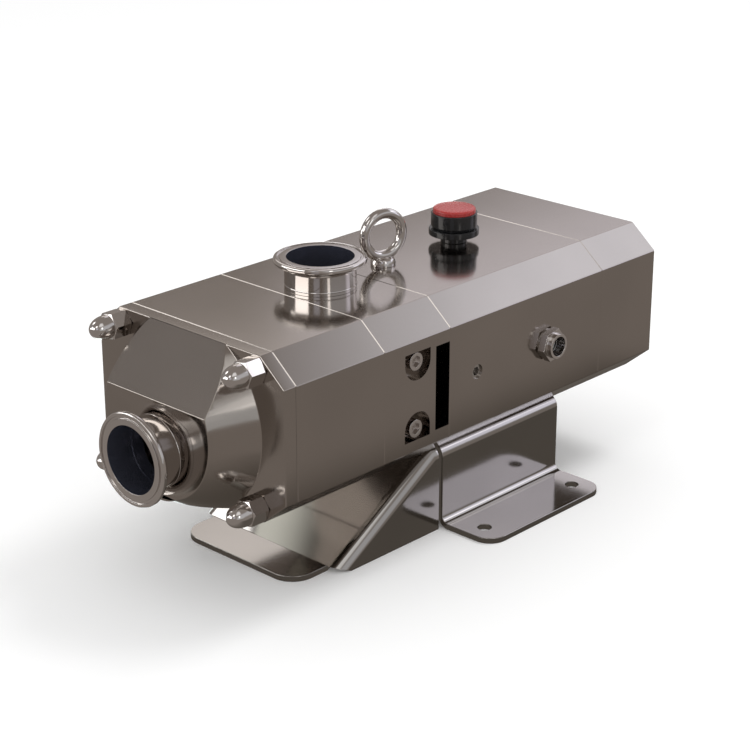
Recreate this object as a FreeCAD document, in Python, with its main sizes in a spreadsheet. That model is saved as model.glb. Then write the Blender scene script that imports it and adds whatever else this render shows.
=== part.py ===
import FreeCAD, Part
import itertools
import math
import os
import re

import Sketcher

# Twin screw pump on folded plate feet: two intermeshing screws in a split octagonal body, driven
# through a pair of timing gears. The frame is +X along the shafts from the inlet to the drive end,
# +Z up, the floor at z 0 and the origin in the middle of the four foot bolts. Lengths are in mm.

SIZES = {
    # body
    "body_width": 250.0,
    "body_height": 162.0,
    "chamfer_side": 30.0,
    "chamfer_top": 25.0,
    "shaft_height": 171.0,
    "centre_distance": 75.0,
    "cover_reach": 334.0,
    "cover_thick": 15.0,
    "casing_long": 113.5,
    "port_long": 91.0,
    "case_long": 235.0,
    "rear_long": 91.0,
    "edge_break": 0.6,
    # front cover boss and inlet
    "boss_reach": 42.0,
    "boss_spread": 28.8,
    "boss_rim": 142.0,
    "boss_slope_drop": 56.3,
    "nut_clearance": 40.0,
    "inlet_drop": 24.4,
    "neck_round": 14.0,
    "neck_rest": 0.1,
    "weld_place": 5.0,
    "nose_chamber": 88.0,
    "nose_depth": 27.0,
    "nose_overlap": 6.0,
    # sanitary ferrules
    "tube_outer": 70.0,
    "port_bore": 66.0,
    "flange_outer": 91.0,
    "flange_rim": 2.9,
    "flange_taper": 2.6,
    "flange_hub": 76.0,
    "seat_groove": 83.5,
    "seat_groove_wide": 2.6,
    "seat_groove_deep": 1.3,
    "inlet_reach": 31.0,
    "outlet_reach": 30.0,
    "outlet_setback": 43.0,
    "outlet_floor": 50.0,
    "throat_bore": 46.0,
    "throat_setback": 26.0,
    # pumping chamber and screws
    "screw_outer": 100.0,
    "screw_gap": 0.3,
    "root_gap": 0.5,
    "screw_pitch": 76.0,
    "thread_land": 31.0,
    "thread_root": 2.0,
    "screw_setback": 3.0,
    "screw_long": 152.0,
    "hub_long": 12.0,
    "chamber_deep": 61.5,
    "shaft_screw": 30.0,
    "shaft_seal": 36.0,
    "shaft_bearing": 40.0,
    "shaft_middle": 46.0,
    "shaft_spigot": 20.0,
    "shaft_input": 35.0,
    "shaft_end": 28.0,
    "shaft_end_long": 51.0,
    "shaft_end_step": 4.0,
    "cap_nut_outer": 38.0,
    "cap_nut_long": 18.0,
    "spigot_long": 14.0,
    "key_wide": 8.0,
    "key_high": 7.0,
    "key_sunk": 4.0,
    "screw_key_long": 100.0,
    "end_key_long": 36.0,
    "gear_key_long": 24.0,
    # seals
    "seal_ring_outer": 46.0,
    "seal_ring_long": 6.0,
    "seal_gap": 0.3,
    "stator_outer": 48.0,
    "stator_bore": 37.2,
    "stator_seat": 4.0,
    "gland_spigot": 56.0,
    "gland_bore": 38.0,
    "gland_thick": 6.0,
    "gland_round": 40.0,
    "gland_screw_reach": 34.5,
    "gland_screw_size": 6.0,
    "gland_screw_grip": 6.0,
    "lip_seal_outer": 52.0,
    "lip_seal_bore": 36.6,
    "lip_seal_long": 8.0,
    "input_seal_bore": 35.6,
    "input_seal_long": 10.0,
    "seal_cord_inner": 54.0,
    "seal_cord_wide": 4.0,
    "seal_cord_deep": 3.0,
    # side windows and side screws
    "slot_long": 20.1,
    "slot_high": 85.5,
    "side_screw_setback": 45.5,
    "side_screw_apart": 68.0,
    "side_screw_size": 12.0,
    "side_screw_sunk": 2.0,
    "side_screw_grip": 25.0,
    "side_pocket_half": 17.6,
    "side_pocket_round": 17.2,
    "side_pocket_flat": 10.5,
    # gear case and rear cover
    "case_wall": 27.0,
    "bearing_setback": 12.0,
    "bearing_hole": 44.0,
    "case_cavity": 58.0,
    "plate_seat": 68.0,
    "plate_thick": 24.5,
    "plate_bore": 56.0,
    "plate_lip": 4.0,
    "plate_screw_reach": 63.0,
    "plate_screw_size": 6.0,
    "plate_screw_grip": 12.0,
    "rear_cavity": 52.0,
    "rear_wall": 14.0,
    "input_hole": 40.0,
    "rear_screw_y": 98.0,
    "rear_screw_z": 58.0,
    "rear_screw_size": 10.0,
    "rear_screw_grip": 20.0,
    # bearings
    "bearing_outer": 68.0,
    "bearing_long": 15.0,
    "ring_thick": 4.0,
    "roller_gap": 0.05,
    "roller_long": 11.0,
    "roller_count": 12.0,
    "lock_nut_outer": 58.0,
    "lock_nut_long": 9.0,
    "lock_slot_wide": 7.0,
    "lock_slot_deep": 3.0,
    "driven_end_long": 4.0,
    # timing gears
    "gear_teeth": 30.0,
    "gear_face": 30.0,
    "gear_backlash": 0.3,
    "gear_relief": 0.25,
    "spacer_outer": 50.0,
    "spacer_long": 19.0,
    # fasteners
    "tie_inset": 34.5,
    "tie_edge": 14.2,
    "tie_size": 12.0,
    "tie_grip": 23.5,
    "hole_play": 1.0,
    "cut_past": 1.0,
    "head_ratio": 1.5,
    "socket_ratio": 0.85,
    "nut_flats": 24.0,
    "nut_turn": 52.0,
    "nut_long": 19.0,
    "dome_outer": 22.6,
    "dome_long": 20.0,
    "dome_round": 11.2,
    "nut_thread": 20.0,
    "dowel_size": 8.0,
    "dowel_long": 20.0,
    "dowel_y": 60.0,
    "dowel_edge": 11.0,
    # eye bolt
    "eye_setback": 40.2,
    "eye_rise": 25.8,
    "eye_outer": 64.0,
    "eye_section": 11.8,
    "eye_collar": 24.0,
    "eye_neck": 22.4,
    "eye_collar_high": 9.5,
    "eye_thread": 16.0,
    "eye_thread_long": 18.0,
    # breather
    "breather_setback": 146.7,
    "breather_thread": 20.0,
    "breather_thread_long": 14.0,
    "breather_neck": 27.3,
    "breather_neck_high": 8.0,
    "breather_lip": 52.0,
    "breather_lip_high": 6.4,
    "breather_groove": 44.0,
    "breather_groove_high": 2.6,
    "breather_cap_outer": 47.7,
    "breather_cap_high": 14.2,
    "breather_wall": 3.0,
    "disc_outer": 44.0,
    "disc_edge": 2.0,
    "disc_rise": 3.4,
    "disc_half_rise": 2.55,
    # oil level glass and plug
    "glass_setback": 148.5,
    "glass_flats": 30.5,
    "glass_turn": 10.0,
    "glass_hex_long": 8.0,
    "glass_gasket": 1.5,
    "glass_collar": 26.0,
    "glass_collar_long": 5.5,
    "glass_recess": 20.0,
    "glass_recess_deep": 9.0,
    "glass_lens_long": 4.0,
    "glass_thread": 20.0,
    "glass_thread_long": 20.0,
    "glass_sight": 12.0,
    "plug_setback": 40.5,
    "plug_size": 15.0,
    "plug_long": 14.0,
    "plug_sunk": 2.0,
    "plug_socket": 8.0,
    "plug_socket_deep": 6.0,
    # feet
    "foot_plate": 6.0,
    "foot_bend": 8.0,
    "bracket_wall": 194.0,
    "bracket_long": 181.5,
    "bracket_shift": -0.25,
    "bracket_foot_wide": 324.6,
    "bracket_flange": 40.0,
    "bracket_corner": 20.0,
    "foot_hole": 14.0,
    "foot_hole_x": 140.0,
    "foot_hole_y": 270.0,
    "bracket_screw_y": 150.0,
    "bracket_screw_size": 10.0,
    "bracket_screw_grip": 16.0,
    "pedestal_toe": 283.5,
    "pedestal_bend": 238.3,
    "pedestal_top": 105.0,
    "pedestal_back": 95.6,
    "pedestal_foot_wide": 159.6,
    "pedestal_corner": 25.0,
    "pedestal_relief": 17.0,
    "pedestal_flange_end": 34.0,
    "pedestal_flange_wide": 100.0,
    "pedestal_screw_back": 59.0,
    "pedestal_screw_y": 50.0,
}

# Places along the shafts, and other lengths that follow from the sizes above.
PLACES = {
    "cover_front": "-cover_reach",
    "casing_front": "cover_front + cover_thick",
    "port_front": "casing_front + casing_long",
    "case_front": "port_front + port_long",
    "rear_front": "case_front + case_long",
    "rear_face": "rear_front + rear_long",
    "boss_front": "cover_front - boss_reach",
    "boss_base": "body_height + boss_spread",
    "inlet_face": "boss_front - inlet_reach",
    "weld_seam": "boss_front - weld_place",
    "body_under": "shaft_height - body_height / 2",
    "body_top": "shaft_height + body_height / 2",
    "half_wide": "body_width / 2",
    "half_high": "body_height / 2",
    "tie_y": "half_wide - tie_inset",
    "tie_z": "half_high - tie_edge",
    "dowel_z": "half_high - dowel_edge",
    "shaft_side": "centre_distance / 2",
    "screw_front": "casing_front + screw_setback",
    "screw_root": "2 * centre_distance - screw_outer - 2 * root_gap",
    "chamber_bore": "screw_outer + 2 * screw_gap",
    "hub_back": "screw_front + screw_long + hub_long",
    "seal_ring_back": "hub_back + seal_ring_long",
    "chamber_back": "port_front + chamber_deep",
    "slot_front": "case_front - slot_long",
    "gland_back": "slot_front + gland_thick",
    "bearing_front": "case_front + bearing_setback",
    "bearing_back": "bearing_front + bearing_long",
    "plate_front": "rear_front - plate_thick",
    "rear_bearing_front": "plate_front + plate_lip",
    "rear_bearing_back": "rear_bearing_front + bearing_long",
    "gear_back": "rear_bearing_front - spacer_long",
    "gear_front": "gear_back - gear_face",
    "lock_nut_back": "rear_bearing_back + lock_nut_long",
    "input_seal_front": "rear_face - input_seal_long",
    "shaft_step": "rear_face + shaft_end_step",
    "drive_end": "shaft_step + shaft_end_long",
    "driven_end": "lock_nut_back + driven_end_long",
    "screw_middle": "screw_front + screw_long / 2",
    "gear_middle": "(gear_front + gear_back) / 2",
    "end_key_middle": "(shaft_step + drive_end) / 2",
    "half_slot": "lock_slot_wide / 2",
    "slot_floor": "lock_nut_outer / 2 - lock_slot_deep",
    "side_pocket_deep": "side_screw_size + side_screw_sunk",
    "side_screw_deep": "side_pocket_deep + side_screw_grip",
    "rear_seal_inner": "plate_seat + hole_play",
    "rear_screw_seat": "head_ratio * rear_screw_size + 2 * hole_play",
    "outlet_x": "port_front + outlet_setback",
    "throat_x": "port_front + throat_setback",
    "side_screw_x": "port_front + side_screw_setback",
    "side_screw_z": "side_screw_apart / 2",
    "race_outer": "bearing_outer / 2 - ring_thick",
    "race_inner": "shaft_bearing / 2 + ring_thick",
    "roller_radius": "(race_outer - race_inner) / 2 - roller_gap",
    "roller_circle": "(race_outer + race_inner) / 2",
    "eye_x": "case_front + eye_setback",
    "breather_x": "case_front + breather_setback",
    "glass_x": "case_front + glass_setback",
    "plug_x": "case_front + plug_setback",
    "foot_rise": "body_under - foot_plate",
    "slope_run": "pedestal_bend - pedestal_top",
    "plate_drop": "foot_plate * sqrt(1 + (foot_rise / slope_run) ^ 2)",
    "pedestal_inner_low": "-pedestal_bend + (plate_drop - foot_plate) * slope_run / foot_rise",
    "pedestal_inner_high": "pedestal_inner_low + slope_run",
    "wall_half": "bracket_wall / 2",
    "wall_inner": "bracket_wall / 2 - foot_plate",
    "bend_outer": "foot_bend + foot_plate",
}

# Where the solver starts drawing an outline, before its constraints give it its size.
START_RADIUS = 50.0

SHAFTS = (("drive", "shaft_side"), ("driven", "-shaft_side"))
SIDES = (("left", 1), ("right", -1))

doc = FreeCAD.newDocument("TwinScrewPump")
sheet = doc.addObject("Spreadsheet::Sheet", "Sizes")
for row, (name, value) in enumerate(SIZES.items(), start=1):
    sheet.set(f"A{row}", name)
    sheet.set(f"B{row}", str(value))
    sheet.setAlias(f"B{row}", name)
doc.recompute()

names = itertools.count(1)
sub_parts = []


def formula(text):
    """Puts the sheet's cells in place of the names in a size formula."""

    def cell(match):
        word = match.group(0)
        if word in PLACES:
            return f"({formula(PLACES[word])})"
        return f"Sizes.{word}" if word in SIZES else word

    return re.sub(r"[a-z_]+", cell, text)


def bind(thing, **sizes):
    """Ties properties of an object to size formulas."""
    for path, text in sizes.items():
        thing.setExpression(path.replace("__", "."), formula(text))


def place(piece, x="0", y="0", z="0"):
    """Ties the place of an object to size formulas."""
    bind(piece, Placement__Base__x=x, Placement__Base__y=y, Placement__Base__z=z)


def new_body(label, x="0", y="0", z="shaft_height", keep=True):
    """Starts a body. A kept body is a sub-part, and others are patterns for linked copies."""
    body = doc.addObject("PartDesign::Body", label)
    body.AllowCompound = True
    place(body, x, y, z)
    if keep:
        sub_parts.append(body)
    return body


def group(label, pieces):
    """Joins linked copies into one sub-part of separate solids."""
    whole = doc.addObject("Part::Compound", label)
    whole.Links = pieces
    sub_parts.append(whole)
    return whole


def copy_of(body, x, y, z, turn=None):
    """Places a linked copy of a body, turned from its own axes when asked."""
    link = doc.addObject("App::Link", body.Name + "Copy")
    link.LinkedObject = body
    link.LinkTransform = False
    if turn:
        link.Placement = FreeCAD.Placement(FreeCAD.Vector(), turn)
    place(link, x, y, z)
    return link


def new_sketch(body, role, offset="0", right="0", up="0"):
    """Starts a sketch on one of the body's origin planes, moved along its normal, right or up."""
    plane = next(item for item in body.Origin.OriginFeatures if item.Role == role)
    sketch = body.newObject("Sketcher::SketchObject", f"{body.Name}Sketch")
    sketch.AttachmentSupport = [(plane, "")]
    sketch.MapMode = "FlatFace"
    bind(sketch, AttachmentOffset__Base__z=offset)
    bind(sketch, AttachmentOffset__Base__x=right, AttachmentOffset__Base__y=up)
    return sketch


def hold(sketch, kind, *ends, text, start=1.0):
    """Adds a dimension tied to a size formula."""
    index = sketch.addConstraint(Sketcher.Constraint(kind, *ends, start))
    name = f"size{next(names)}"
    sketch.renameConstraint(index, name)
    sketch.setExpression(f"Constraints.{name}", formula(text))


def polygon(sketch, corners):
    """Draws a closed outline through corners of (u, v), or of (u, v, radius) where one is rounded."""
    count = len(corners)
    first = sketch.GeometryCount
    ring = []
    for turn in range(count):
        angle = 2 * math.pi * turn / count
        ring.append(FreeCAD.Vector(math.cos(angle), math.sin(angle), 0) * START_RADIUS)
    for turn in range(count):
        sketch.addGeometry(Part.LineSegment(ring[turn], ring[(turn + 1) % count]))
    for turn in range(count):
        sketch.addConstraint(
            Sketcher.Constraint("Coincident", first + (turn - 1) % count, 2, first + turn, 1)
        )
    for turn, corner in enumerate(corners):
        hold(sketch, "DistanceX", -1, 1, first + turn, 1, text=corner[0], start=ring[turn].x)
        hold(sketch, "DistanceY", -1, 1, first + turn, 1, text=corner[1], start=ring[turn].y)
    sketch.recompute()
    for turn, corner in enumerate(corners):
        if len(corner) == 3:
            before = sketch.GeometryCount
            sketch.fillet(first + turn, 1, 1.0, True, True)
            arcs = range(before, sketch.GeometryCount)
            arc = next(item for item in arcs if isinstance(sketch.Geometry[item], Part.ArcOfCircle))
            hold(sketch, "Radius", arc, text=corner[2])
            sketch.recompute()
    return sketch


def circles(sketch, rounds):
    """Draws circles of (u, v, diameter)."""
    for u, v, across in rounds:
        ring = sketch.addGeometry(Part.Circle(FreeCAD.Vector(0, 0, 0), FreeCAD.Vector(0, 0, 1), 5))
        hold(sketch, "DistanceX", -1, 1, ring, 3, text=u)
        hold(sketch, "DistanceY", -1, 1, ring, 3, text=v)
        hold(sketch, "Diameter", ring, text=across)
    return sketch


def stadium(sketch, half_length, radius):
    """Draws two half circles joined by straight lines, long in the sketch's first direction."""
    far = 30.0
    near = 10.0
    normal = FreeCAD.Vector(0, 0, 1)
    right_circle = Part.Circle(FreeCAD.Vector(far, 0, 0), normal, near)
    left_circle = Part.Circle(FreeCAD.Vector(-far, 0, 0), normal, near)
    right = sketch.addGeometry(Part.ArcOfCircle(right_circle, -math.pi / 2, math.pi / 2))
    left = sketch.addGeometry(Part.ArcOfCircle(left_circle, math.pi / 2, 3 * math.pi / 2))
    top = sketch.addGeometry(
        Part.LineSegment(FreeCAD.Vector(far, near, 0), FreeCAD.Vector(-far, near, 0))
    )
    low = sketch.addGeometry(
        Part.LineSegment(FreeCAD.Vector(-far, -near, 0), FreeCAD.Vector(far, -near, 0))
    )
    sketch.addConstraint(Sketcher.Constraint("Tangent", right, 2, top, 1))
    sketch.addConstraint(Sketcher.Constraint("Tangent", top, 2, left, 1))
    sketch.addConstraint(Sketcher.Constraint("Tangent", left, 2, low, 1))
    sketch.addConstraint(Sketcher.Constraint("Tangent", low, 2, right, 1))
    sketch.addConstraint(Sketcher.Constraint("Equal", right, left))
    hold(sketch, "DistanceX", -1, 1, right, 3, text=half_length, start=far)
    hold(sketch, "DistanceX", -1, 1, left, 3, text=f"-({half_length})", start=-far)
    hold(sketch, "DistanceY", -1, 1, right, 3, text="0", start=0.0)
    hold(sketch, "DistanceY", -1, 1, left, 3, text="0", start=0.0)
    hold(sketch, "Radius", right, text=radius, start=near)
    return sketch


def octagon(sketch):
    """Draws the pump body's section: a rectangle with its four long edges cut off."""
    side_end = "half_high - chamfer_top"
    flat_end = "half_wide - chamfer_side"
    corners = []
    for y, z in (("", "-"), ("", ""), ("-", ""), ("-", "-")):
        chamfer = [(f"{y}half_wide", f"{z}({side_end})"), (f"{y}({flat_end})", f"{z}half_high")]
        corners += chamfer if y == z else chamfer[::-1]
    return polygon(sketch, corners)


def hexagon(sketch, flats, turn):
    """Draws a hexagon of a given width across its flats. turn is the first corner's angle."""
    corners = []
    for step in range(6):
        angle = f"{turn} + {60 * step}"
        corners.append((f"{flats} / sqrt(3) * cos({angle})", f"{flats} / sqrt(3) * sin({angle})"))
    return polygon(sketch, corners)


def feature(body, kind, sketch, reverse=False, **sizes):
    """Adds a sketch-based feature, and stops if a cut leaves the body as it was."""
    base = body.Tip
    made = body.newObject(f"PartDesign::{kind}", f"{body.Name}{kind}")
    made.Profile = sketch
    made.Reversed = reverse
    bind(made, **sizes)
    made.recompute(True)
    body.recompute(True)
    if kind in ("Pocket", "Groove") and made.Shape.Volume > base.Shape.Volume - 0.01:
        raise RuntimeError(f"a cut in {body.Label} removes nothing")
    return made


def pad(body, sketch, length, reverse=False):
    """Raises a sketch along its plane's normal."""
    return feature(body, "Pad", sketch, reverse, Length=length)


def pocket(body, sketch, depth, reverse=False):
    """Cuts a sketch against its plane's normal, or along it when reversed."""
    return feature(body, "Pocket", sketch, reverse, Length=depth)


def spin(body, kind, sketch, axis):
    """Turns a sketch about one of its own axes, as a solid or as a cut."""
    base = body.Tip
    made = body.newObject(f"PartDesign::{kind}", f"{body.Name}{kind}")
    made.Profile = sketch
    made.ReferenceAxis = (sketch, [axis])
    made.Angle = 360
    made.recompute(True)
    body.recompute(True)
    if kind == "Groove" and made.Shape.Volume > base.Shape.Volume - 0.01:
        raise RuntimeError(f"a groove in {body.Label} removes nothing")
    return made


def turned(body, corners, role="XZ_Plane", axis="H_Axis", kind="Revolution"):
    """Turns an outline about the body's own X axis, or about another axis of its sketch."""
    return spin(body, kind, polygon(new_sketch(body, role), corners), axis)


def box_corners(u_low, v_low, u_high, v_high):
    """The corners of a rectangle."""
    return [(u_low, v_low), (u_high, v_low), (u_high, v_high), (u_low, v_high)]


def four(y, z, across):
    """The same circle in each quarter of the body's section."""
    spots = []
    for y_sign in ("", "-"):
        for z_sign in ("", "-"):
            spots.append((f"{y_sign}({y})", f"{z_sign}({z})", across))
    return spots


def both_shafts(across):
    """The same circle round each shaft."""
    return [("shaft_side", "0", across), ("-shaft_side", "0", across)]


def edges_where(feature_made, test):
    """Names the edges of a feature that pass a test on their end points."""
    found = []
    for number, edge in enumerate(feature_made.Shape.Edges, start=1):
        points = [vertex.Point for vertex in edge.Vertexes]
        if len(points) == 2 and test(*points):
            found.append(f"Edge{number}")
    return found


def fillet(body, edges, radius):
    """Rounds named edges of the body's last feature."""
    base = body.Tip
    made = body.newObject("PartDesign::Fillet", f"{body.Name}Fillet")
    made.Base = (base, edges)
    bind(made, Radius=radius)
    made.recompute(True)
    body.recompute(True)
    return made


def body_block(label, front, long):
    """A length of the pump's body with all its outer edges broken."""
    body = new_body(label)
    block = pad(body, octagon(new_sketch(body, "YZ_Plane", front)), long)
    made = body.newObject("PartDesign::Chamfer", f"{body.Name}Chamfer")
    made.Base = (block, [f"Edge{number + 1}" for number in range(len(block.Shape.Edges))])
    bind(made, Size="edge_break")
    made.recompute(True)
    body.recompute(True)
    return body


def tie_rod_holes(body, start, depth, across="tie_size + hole_play"):
    """Drills the four tie rod holes from a plane across the body."""
    sketch = circles(new_sketch(body, "YZ_Plane", start), four("tie_y", "tie_z", across))
    return pocket(body, sketch, depth, reverse=True)


def dowel_holes(body, start):
    """Drills the two dowel holes half a dowel deep on both sides of a joint."""
    spots = [("dowel_y", "-dowel_z", "dowel_size"), ("-dowel_y", "dowel_z", "dowel_size")]
    sketch = circles(new_sketch(body, "YZ_Plane", f"{start} - dowel_long / 2"), spots)
    return pocket(body, sketch, "dowel_long", reverse=True)


def seal_groove(body, front):
    """Cuts the racetrack groove of a face seal into a front face."""
    sketch = new_sketch(body, "YZ_Plane", front)
    stadium(sketch, "shaft_side", "seal_cord_inner")
    stadium(sketch, "shaft_side", "seal_cord_inner + seal_cord_wide")
    return pocket(body, sketch, "seal_cord_deep", reverse=True)


def make_front_cover():
    """The inlet cover: a plate with a coned boss, cut flat above and hollowed round the nuts."""
    body = body_block("front_cover", "cover_front", "cover_thick")
    cone = [("boss_front", "0"), ("cover_front + cover_thick / 2", "0")]
    cone += [("cover_front + cover_thick / 2", "boss_base / 2"), ("cover_front", "boss_base / 2")]
    cone += [("boss_front", "boss_rim / 2")]
    turned(body, cone)
    for side in ("", "-"):
        edge = f"{side}half_high"
        far = f"{side}boss_base"
        trim = box_corners("-boss_base", edge, "boss_base", far)
        sketch = polygon(new_sketch(body, "YZ_Plane", "boss_front"), trim)
        pocket(body, sketch, "boss_reach + cover_thick", reverse=True)
    slope = [("cover_front", "half_high"), ("boss_front", "half_high - boss_slope_drop")]
    slope += [("boss_front", "boss_base"), ("cover_front", "boss_base")]
    sketch = polygon(new_sketch(body, "XZ_Plane", "-boss_base"), slope)
    pocket(body, sketch, "2 * boss_base", reverse=True)
    spots = four("tie_y", "tie_z", "nut_clearance")
    pocket(body, circles(new_sketch(body, "YZ_Plane", "cover_front"), spots), "boss_reach")
    neck = [("inlet_face", "0"), ("boss_front + cover_thick", "0")]
    neck += [("boss_front + cover_thick", "tube_outer / 2 + neck_round + neck_rest")]
    neck += [("boss_front", "tube_outer / 2 + neck_round + neck_rest")]
    neck += [("boss_front", "tube_outer / 2", "neck_round"), ("inlet_face", "tube_outer / 2")]
    spin(body, "Revolution", polygon(new_sketch(body, "XZ_Plane", up="-inlet_drop"), neck), "H_Axis")
    trim = [("boss_front - neck_round", "boss_rim / 2"), ("boss_front", "boss_rim / 2")]
    trim += [("boss_front", "boss_rim"), ("boss_front - neck_round", "boss_rim")]
    turned(body, trim, kind="Groove")
    ferrule = box_corners("inlet_face - cut_past", "0", "weld_seam", "boss_base")
    sketch = polygon(new_sketch(body, "XZ_Plane", up="-inlet_drop"), ferrule)
    spin(body, "Groove", sketch, "H_Axis")
    inlet = circles(new_sketch(body, "YZ_Plane", "weld_seam"), [("0", "-inlet_drop", "port_bore")])
    bore = "weld_place + boss_reach + cover_thick - nose_depth + nose_overlap"
    pocket(body, inlet, bore, reverse=True)
    chamber = stadium(new_sketch(body, "YZ_Plane", "casing_front"), "shaft_side", "nose_chamber / 2")
    pocket(body, chamber, "nose_depth")
    tie_rod_holes(body, "cover_front", "cover_thick")
    dowel_holes(body, "casing_front")


def ferrule_profile(face, foot, outward):
    """A pipe ferrule's outline from its sealing face to its foot, and the cut of its seal groove."""
    rim = f"{face} + {outward} * flange_rim"
    hub = f"{face} + {outward} * (flange_rim + flange_taper)"
    outline = [(face, "port_bore / 2"), (face, "flange_outer / 2"), (rim, "flange_outer / 2")]
    outline += [(hub, "flange_hub / 2"), (hub, "tube_outer / 2")]
    outline += [(foot, "tube_outer / 2"), (foot, "port_bore / 2")]
    floor = f"{face} + {outward} * seat_groove_deep"
    groove = box_corners(face, "seat_groove / 2 - seat_groove_wide", floor, "seat_groove / 2")
    return outline, groove


def swapped(corners):
    """The same outline with its two directions exchanged."""
    return [(corner[1], corner[0], *corner[2:]) for corner in corners]


def make_inlet_ferrule():
    """The welded inlet ferrule, which flares at its foot into the cover's neck."""
    body = new_body("inlet_ferrule", z="shaft_height - inlet_drop")
    outline, groove = ferrule_profile("inlet_face", "boss_front", "1")
    flare = [("boss_front", "tube_outer / 2", "neck_round")]
    flare += [("boss_front", "tube_outer / 2 + neck_round + cut_past")]
    flare += [("boss_front + cut_past", "tube_outer / 2 + neck_round + cut_past")]
    flare += [("boss_front + cut_past", "port_bore / 2")]
    turned(body, outline[:5] + flare)
    turned(body, groove, kind="Groove")
    cover = box_corners("weld_seam", "0", "boss_front + 2 * cut_past", "boss_base")
    turned(body, cover, kind="Groove")


def make_outlet_ferrule():
    """The outlet ferrule, welded on the flat top of the port housing."""
    body = new_body("outlet_ferrule", x="outlet_x", z="body_top")
    outline, groove = ferrule_profile("outlet_reach", "0", "-1")
    turned(body, swapped(outline), axis="V_Axis")
    turned(body, swapped(groove), axis="V_Axis", kind="Groove")


def make_rotor_casing():
    """The casing round the screws: two overlapping bores and a seal groove in its front face."""
    body = body_block("rotor_casing", "casing_front", "casing_long")
    for lobe in both_shafts("chamber_bore"):
        sketch = circles(new_sketch(body, "YZ_Plane", "casing_front"), [lobe])
        pocket(body, sketch, "casing_long", reverse=True)
    seal_groove(body, "casing_front")
    tie_rod_holes(body, "casing_front", "casing_long")
    dowel_holes(body, "casing_front")
    dowel_holes(body, "port_front")


def make_port_housing():
    """The outlet housing: end of the pumping chamber, outlet throat and the open seal windows."""
    body = body_block("port_housing", "port_front", "port_long")
    for lobe in both_shafts("chamber_bore"):
        sketch = circles(new_sketch(body, "YZ_Plane", "port_front"), [lobe])
        pocket(body, sketch, "chamber_deep", reverse=True)
    for lobe in both_shafts("gland_spigot"):
        sketch = circles(new_sketch(body, "YZ_Plane", "chamber_back"), [lobe])
        pocket(body, sketch, "slot_front - chamber_back", reverse=True)
    slot = box_corners("slot_front", "-slot_high / 2", "case_front", "slot_high / 2")
    pocket(body, polygon(new_sketch(body, "XZ_Plane", "-half_wide"), slot), "body_width", reverse=True)
    port = circles(new_sketch(body, "XY_Plane", "half_high"), [("outlet_x", "0", "port_bore")])
    pocket(body, port, "half_high - outlet_floor")
    throat = circles(new_sketch(body, "XY_Plane", "outlet_floor"), [("throat_x", "0", "throat_bore")])
    pocket(body, throat, "outlet_floor")
    seal_groove(body, "port_front")
    tie_rod_holes(body, "port_front", "port_long")
    dowel_holes(body, "port_front")
    dowel_holes(body, "case_front")
    holes = gland_screw_spots("gland_screw_size")
    sketch = circles(new_sketch(body, "YZ_Plane", "slot_front"), holes)
    pocket(body, sketch, "gland_screw_grip")
    for side, sign in SIDES:
        for level in ("", "-"):
            side_screw_seat(body, sign, level)


def gland_screw_spots(across):
    """The six screws of the gland plate, above, below and outside each shaft."""
    spots = []
    for side in ("", "-"):
        for level in ("", "-"):
            spots.append((f"{side}shaft_side", f"{level}gland_screw_reach", across))
        spots.append((f"{side}(shaft_side + gland_screw_reach)", "0", across))
    return spots


def side_screw_seat(body, sign, level):
    """A round-bottomed pocket in a flat side, open to its flat edge, with its screw's hole."""
    face = f"{-sign} * half_wide"
    inward = sign > 0
    middle = f"{level}side_screw_z"
    flat = f"{level}(side_screw_z + side_pocket_flat)"
    low = f"{level}(side_screw_z - side_pocket_half)"
    left = "side_screw_x - side_pocket_half"
    right = "side_screw_x + side_pocket_half"
    outline = [(right, flat), (left, flat), (left, low, "side_pocket_round")]
    outline.append((right, low, "side_pocket_round"))
    sketch = polygon(new_sketch(body, "XZ_Plane", face), outline)
    pocket(body, sketch, "side_pocket_deep", inward)
    hole = [("side_screw_x", middle, "side_screw_size")]
    pocket(body, circles(new_sketch(body, "XZ_Plane", face), hole), "side_screw_deep", inward)


def make_gear_case():
    """The gear case: bearing wall in front, oil space behind, and a seat for the bearing plate."""
    body = body_block("gear_case", "case_front", "case_long")
    cavity = stadium(new_sketch(body, "YZ_Plane", "rear_front"), "shaft_side", "case_cavity")
    pocket(body, cavity, "case_long - case_wall")
    seat = stadium(new_sketch(body, "YZ_Plane", "rear_front"), "shaft_side", "plate_seat")
    pocket(body, seat, "plate_thick")
    drill(body, both_shafts("bearing_hole"), "case_front", "case_wall")
    drill(body, both_shafts("lip_seal_outer"), "case_front", "lip_seal_long")
    drill(body, both_shafts("bearing_outer"), "bearing_front", "case_wall")
    tie_rod_holes(body, "case_front", "tie_grip", "tie_size")
    dowel_holes(body, "case_front")
    drill(body, plate_screw_spots("plate_screw_size"), "plate_front - plate_screw_grip", "plate_thick")
    rear = four("rear_screw_y", "rear_screw_z", "rear_screw_size")
    drill(body, rear, "rear_front - rear_screw_grip", "plate_thick")
    top = circles(new_sketch(body, "XY_Plane", "half_high"), [("eye_x", "0", "eye_thread")])
    pocket(body, top, "eye_thread_long")
    top = circles(new_sketch(body, "XY_Plane", "half_high"), [("breather_x", "0", "breather_thread")])
    pocket(body, top, "half_high")
    side = [("glass_x", "0", "glass_thread"), ("plug_x", "0", "plug_size")]
    pocket(body, circles(new_sketch(body, "XZ_Plane", "half_wide"), side), "half_wide - shaft_side")
    under = []
    for x in ("", "-"):
        for y in ("", "-"):
            under.append((f"{x}foot_hole_x / 2", f"{y}bracket_screw_y / 2", "bracket_screw_size"))
    for y in ("", "-"):
        under.append(("-pedestal_screw_back", f"{y}pedestal_screw_y / 2", "bracket_screw_size"))
    sketch = circles(new_sketch(body, "XY_Plane", "-half_high"), under)
    pocket(body, sketch, "bracket_screw_grip", reverse=True)


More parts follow.
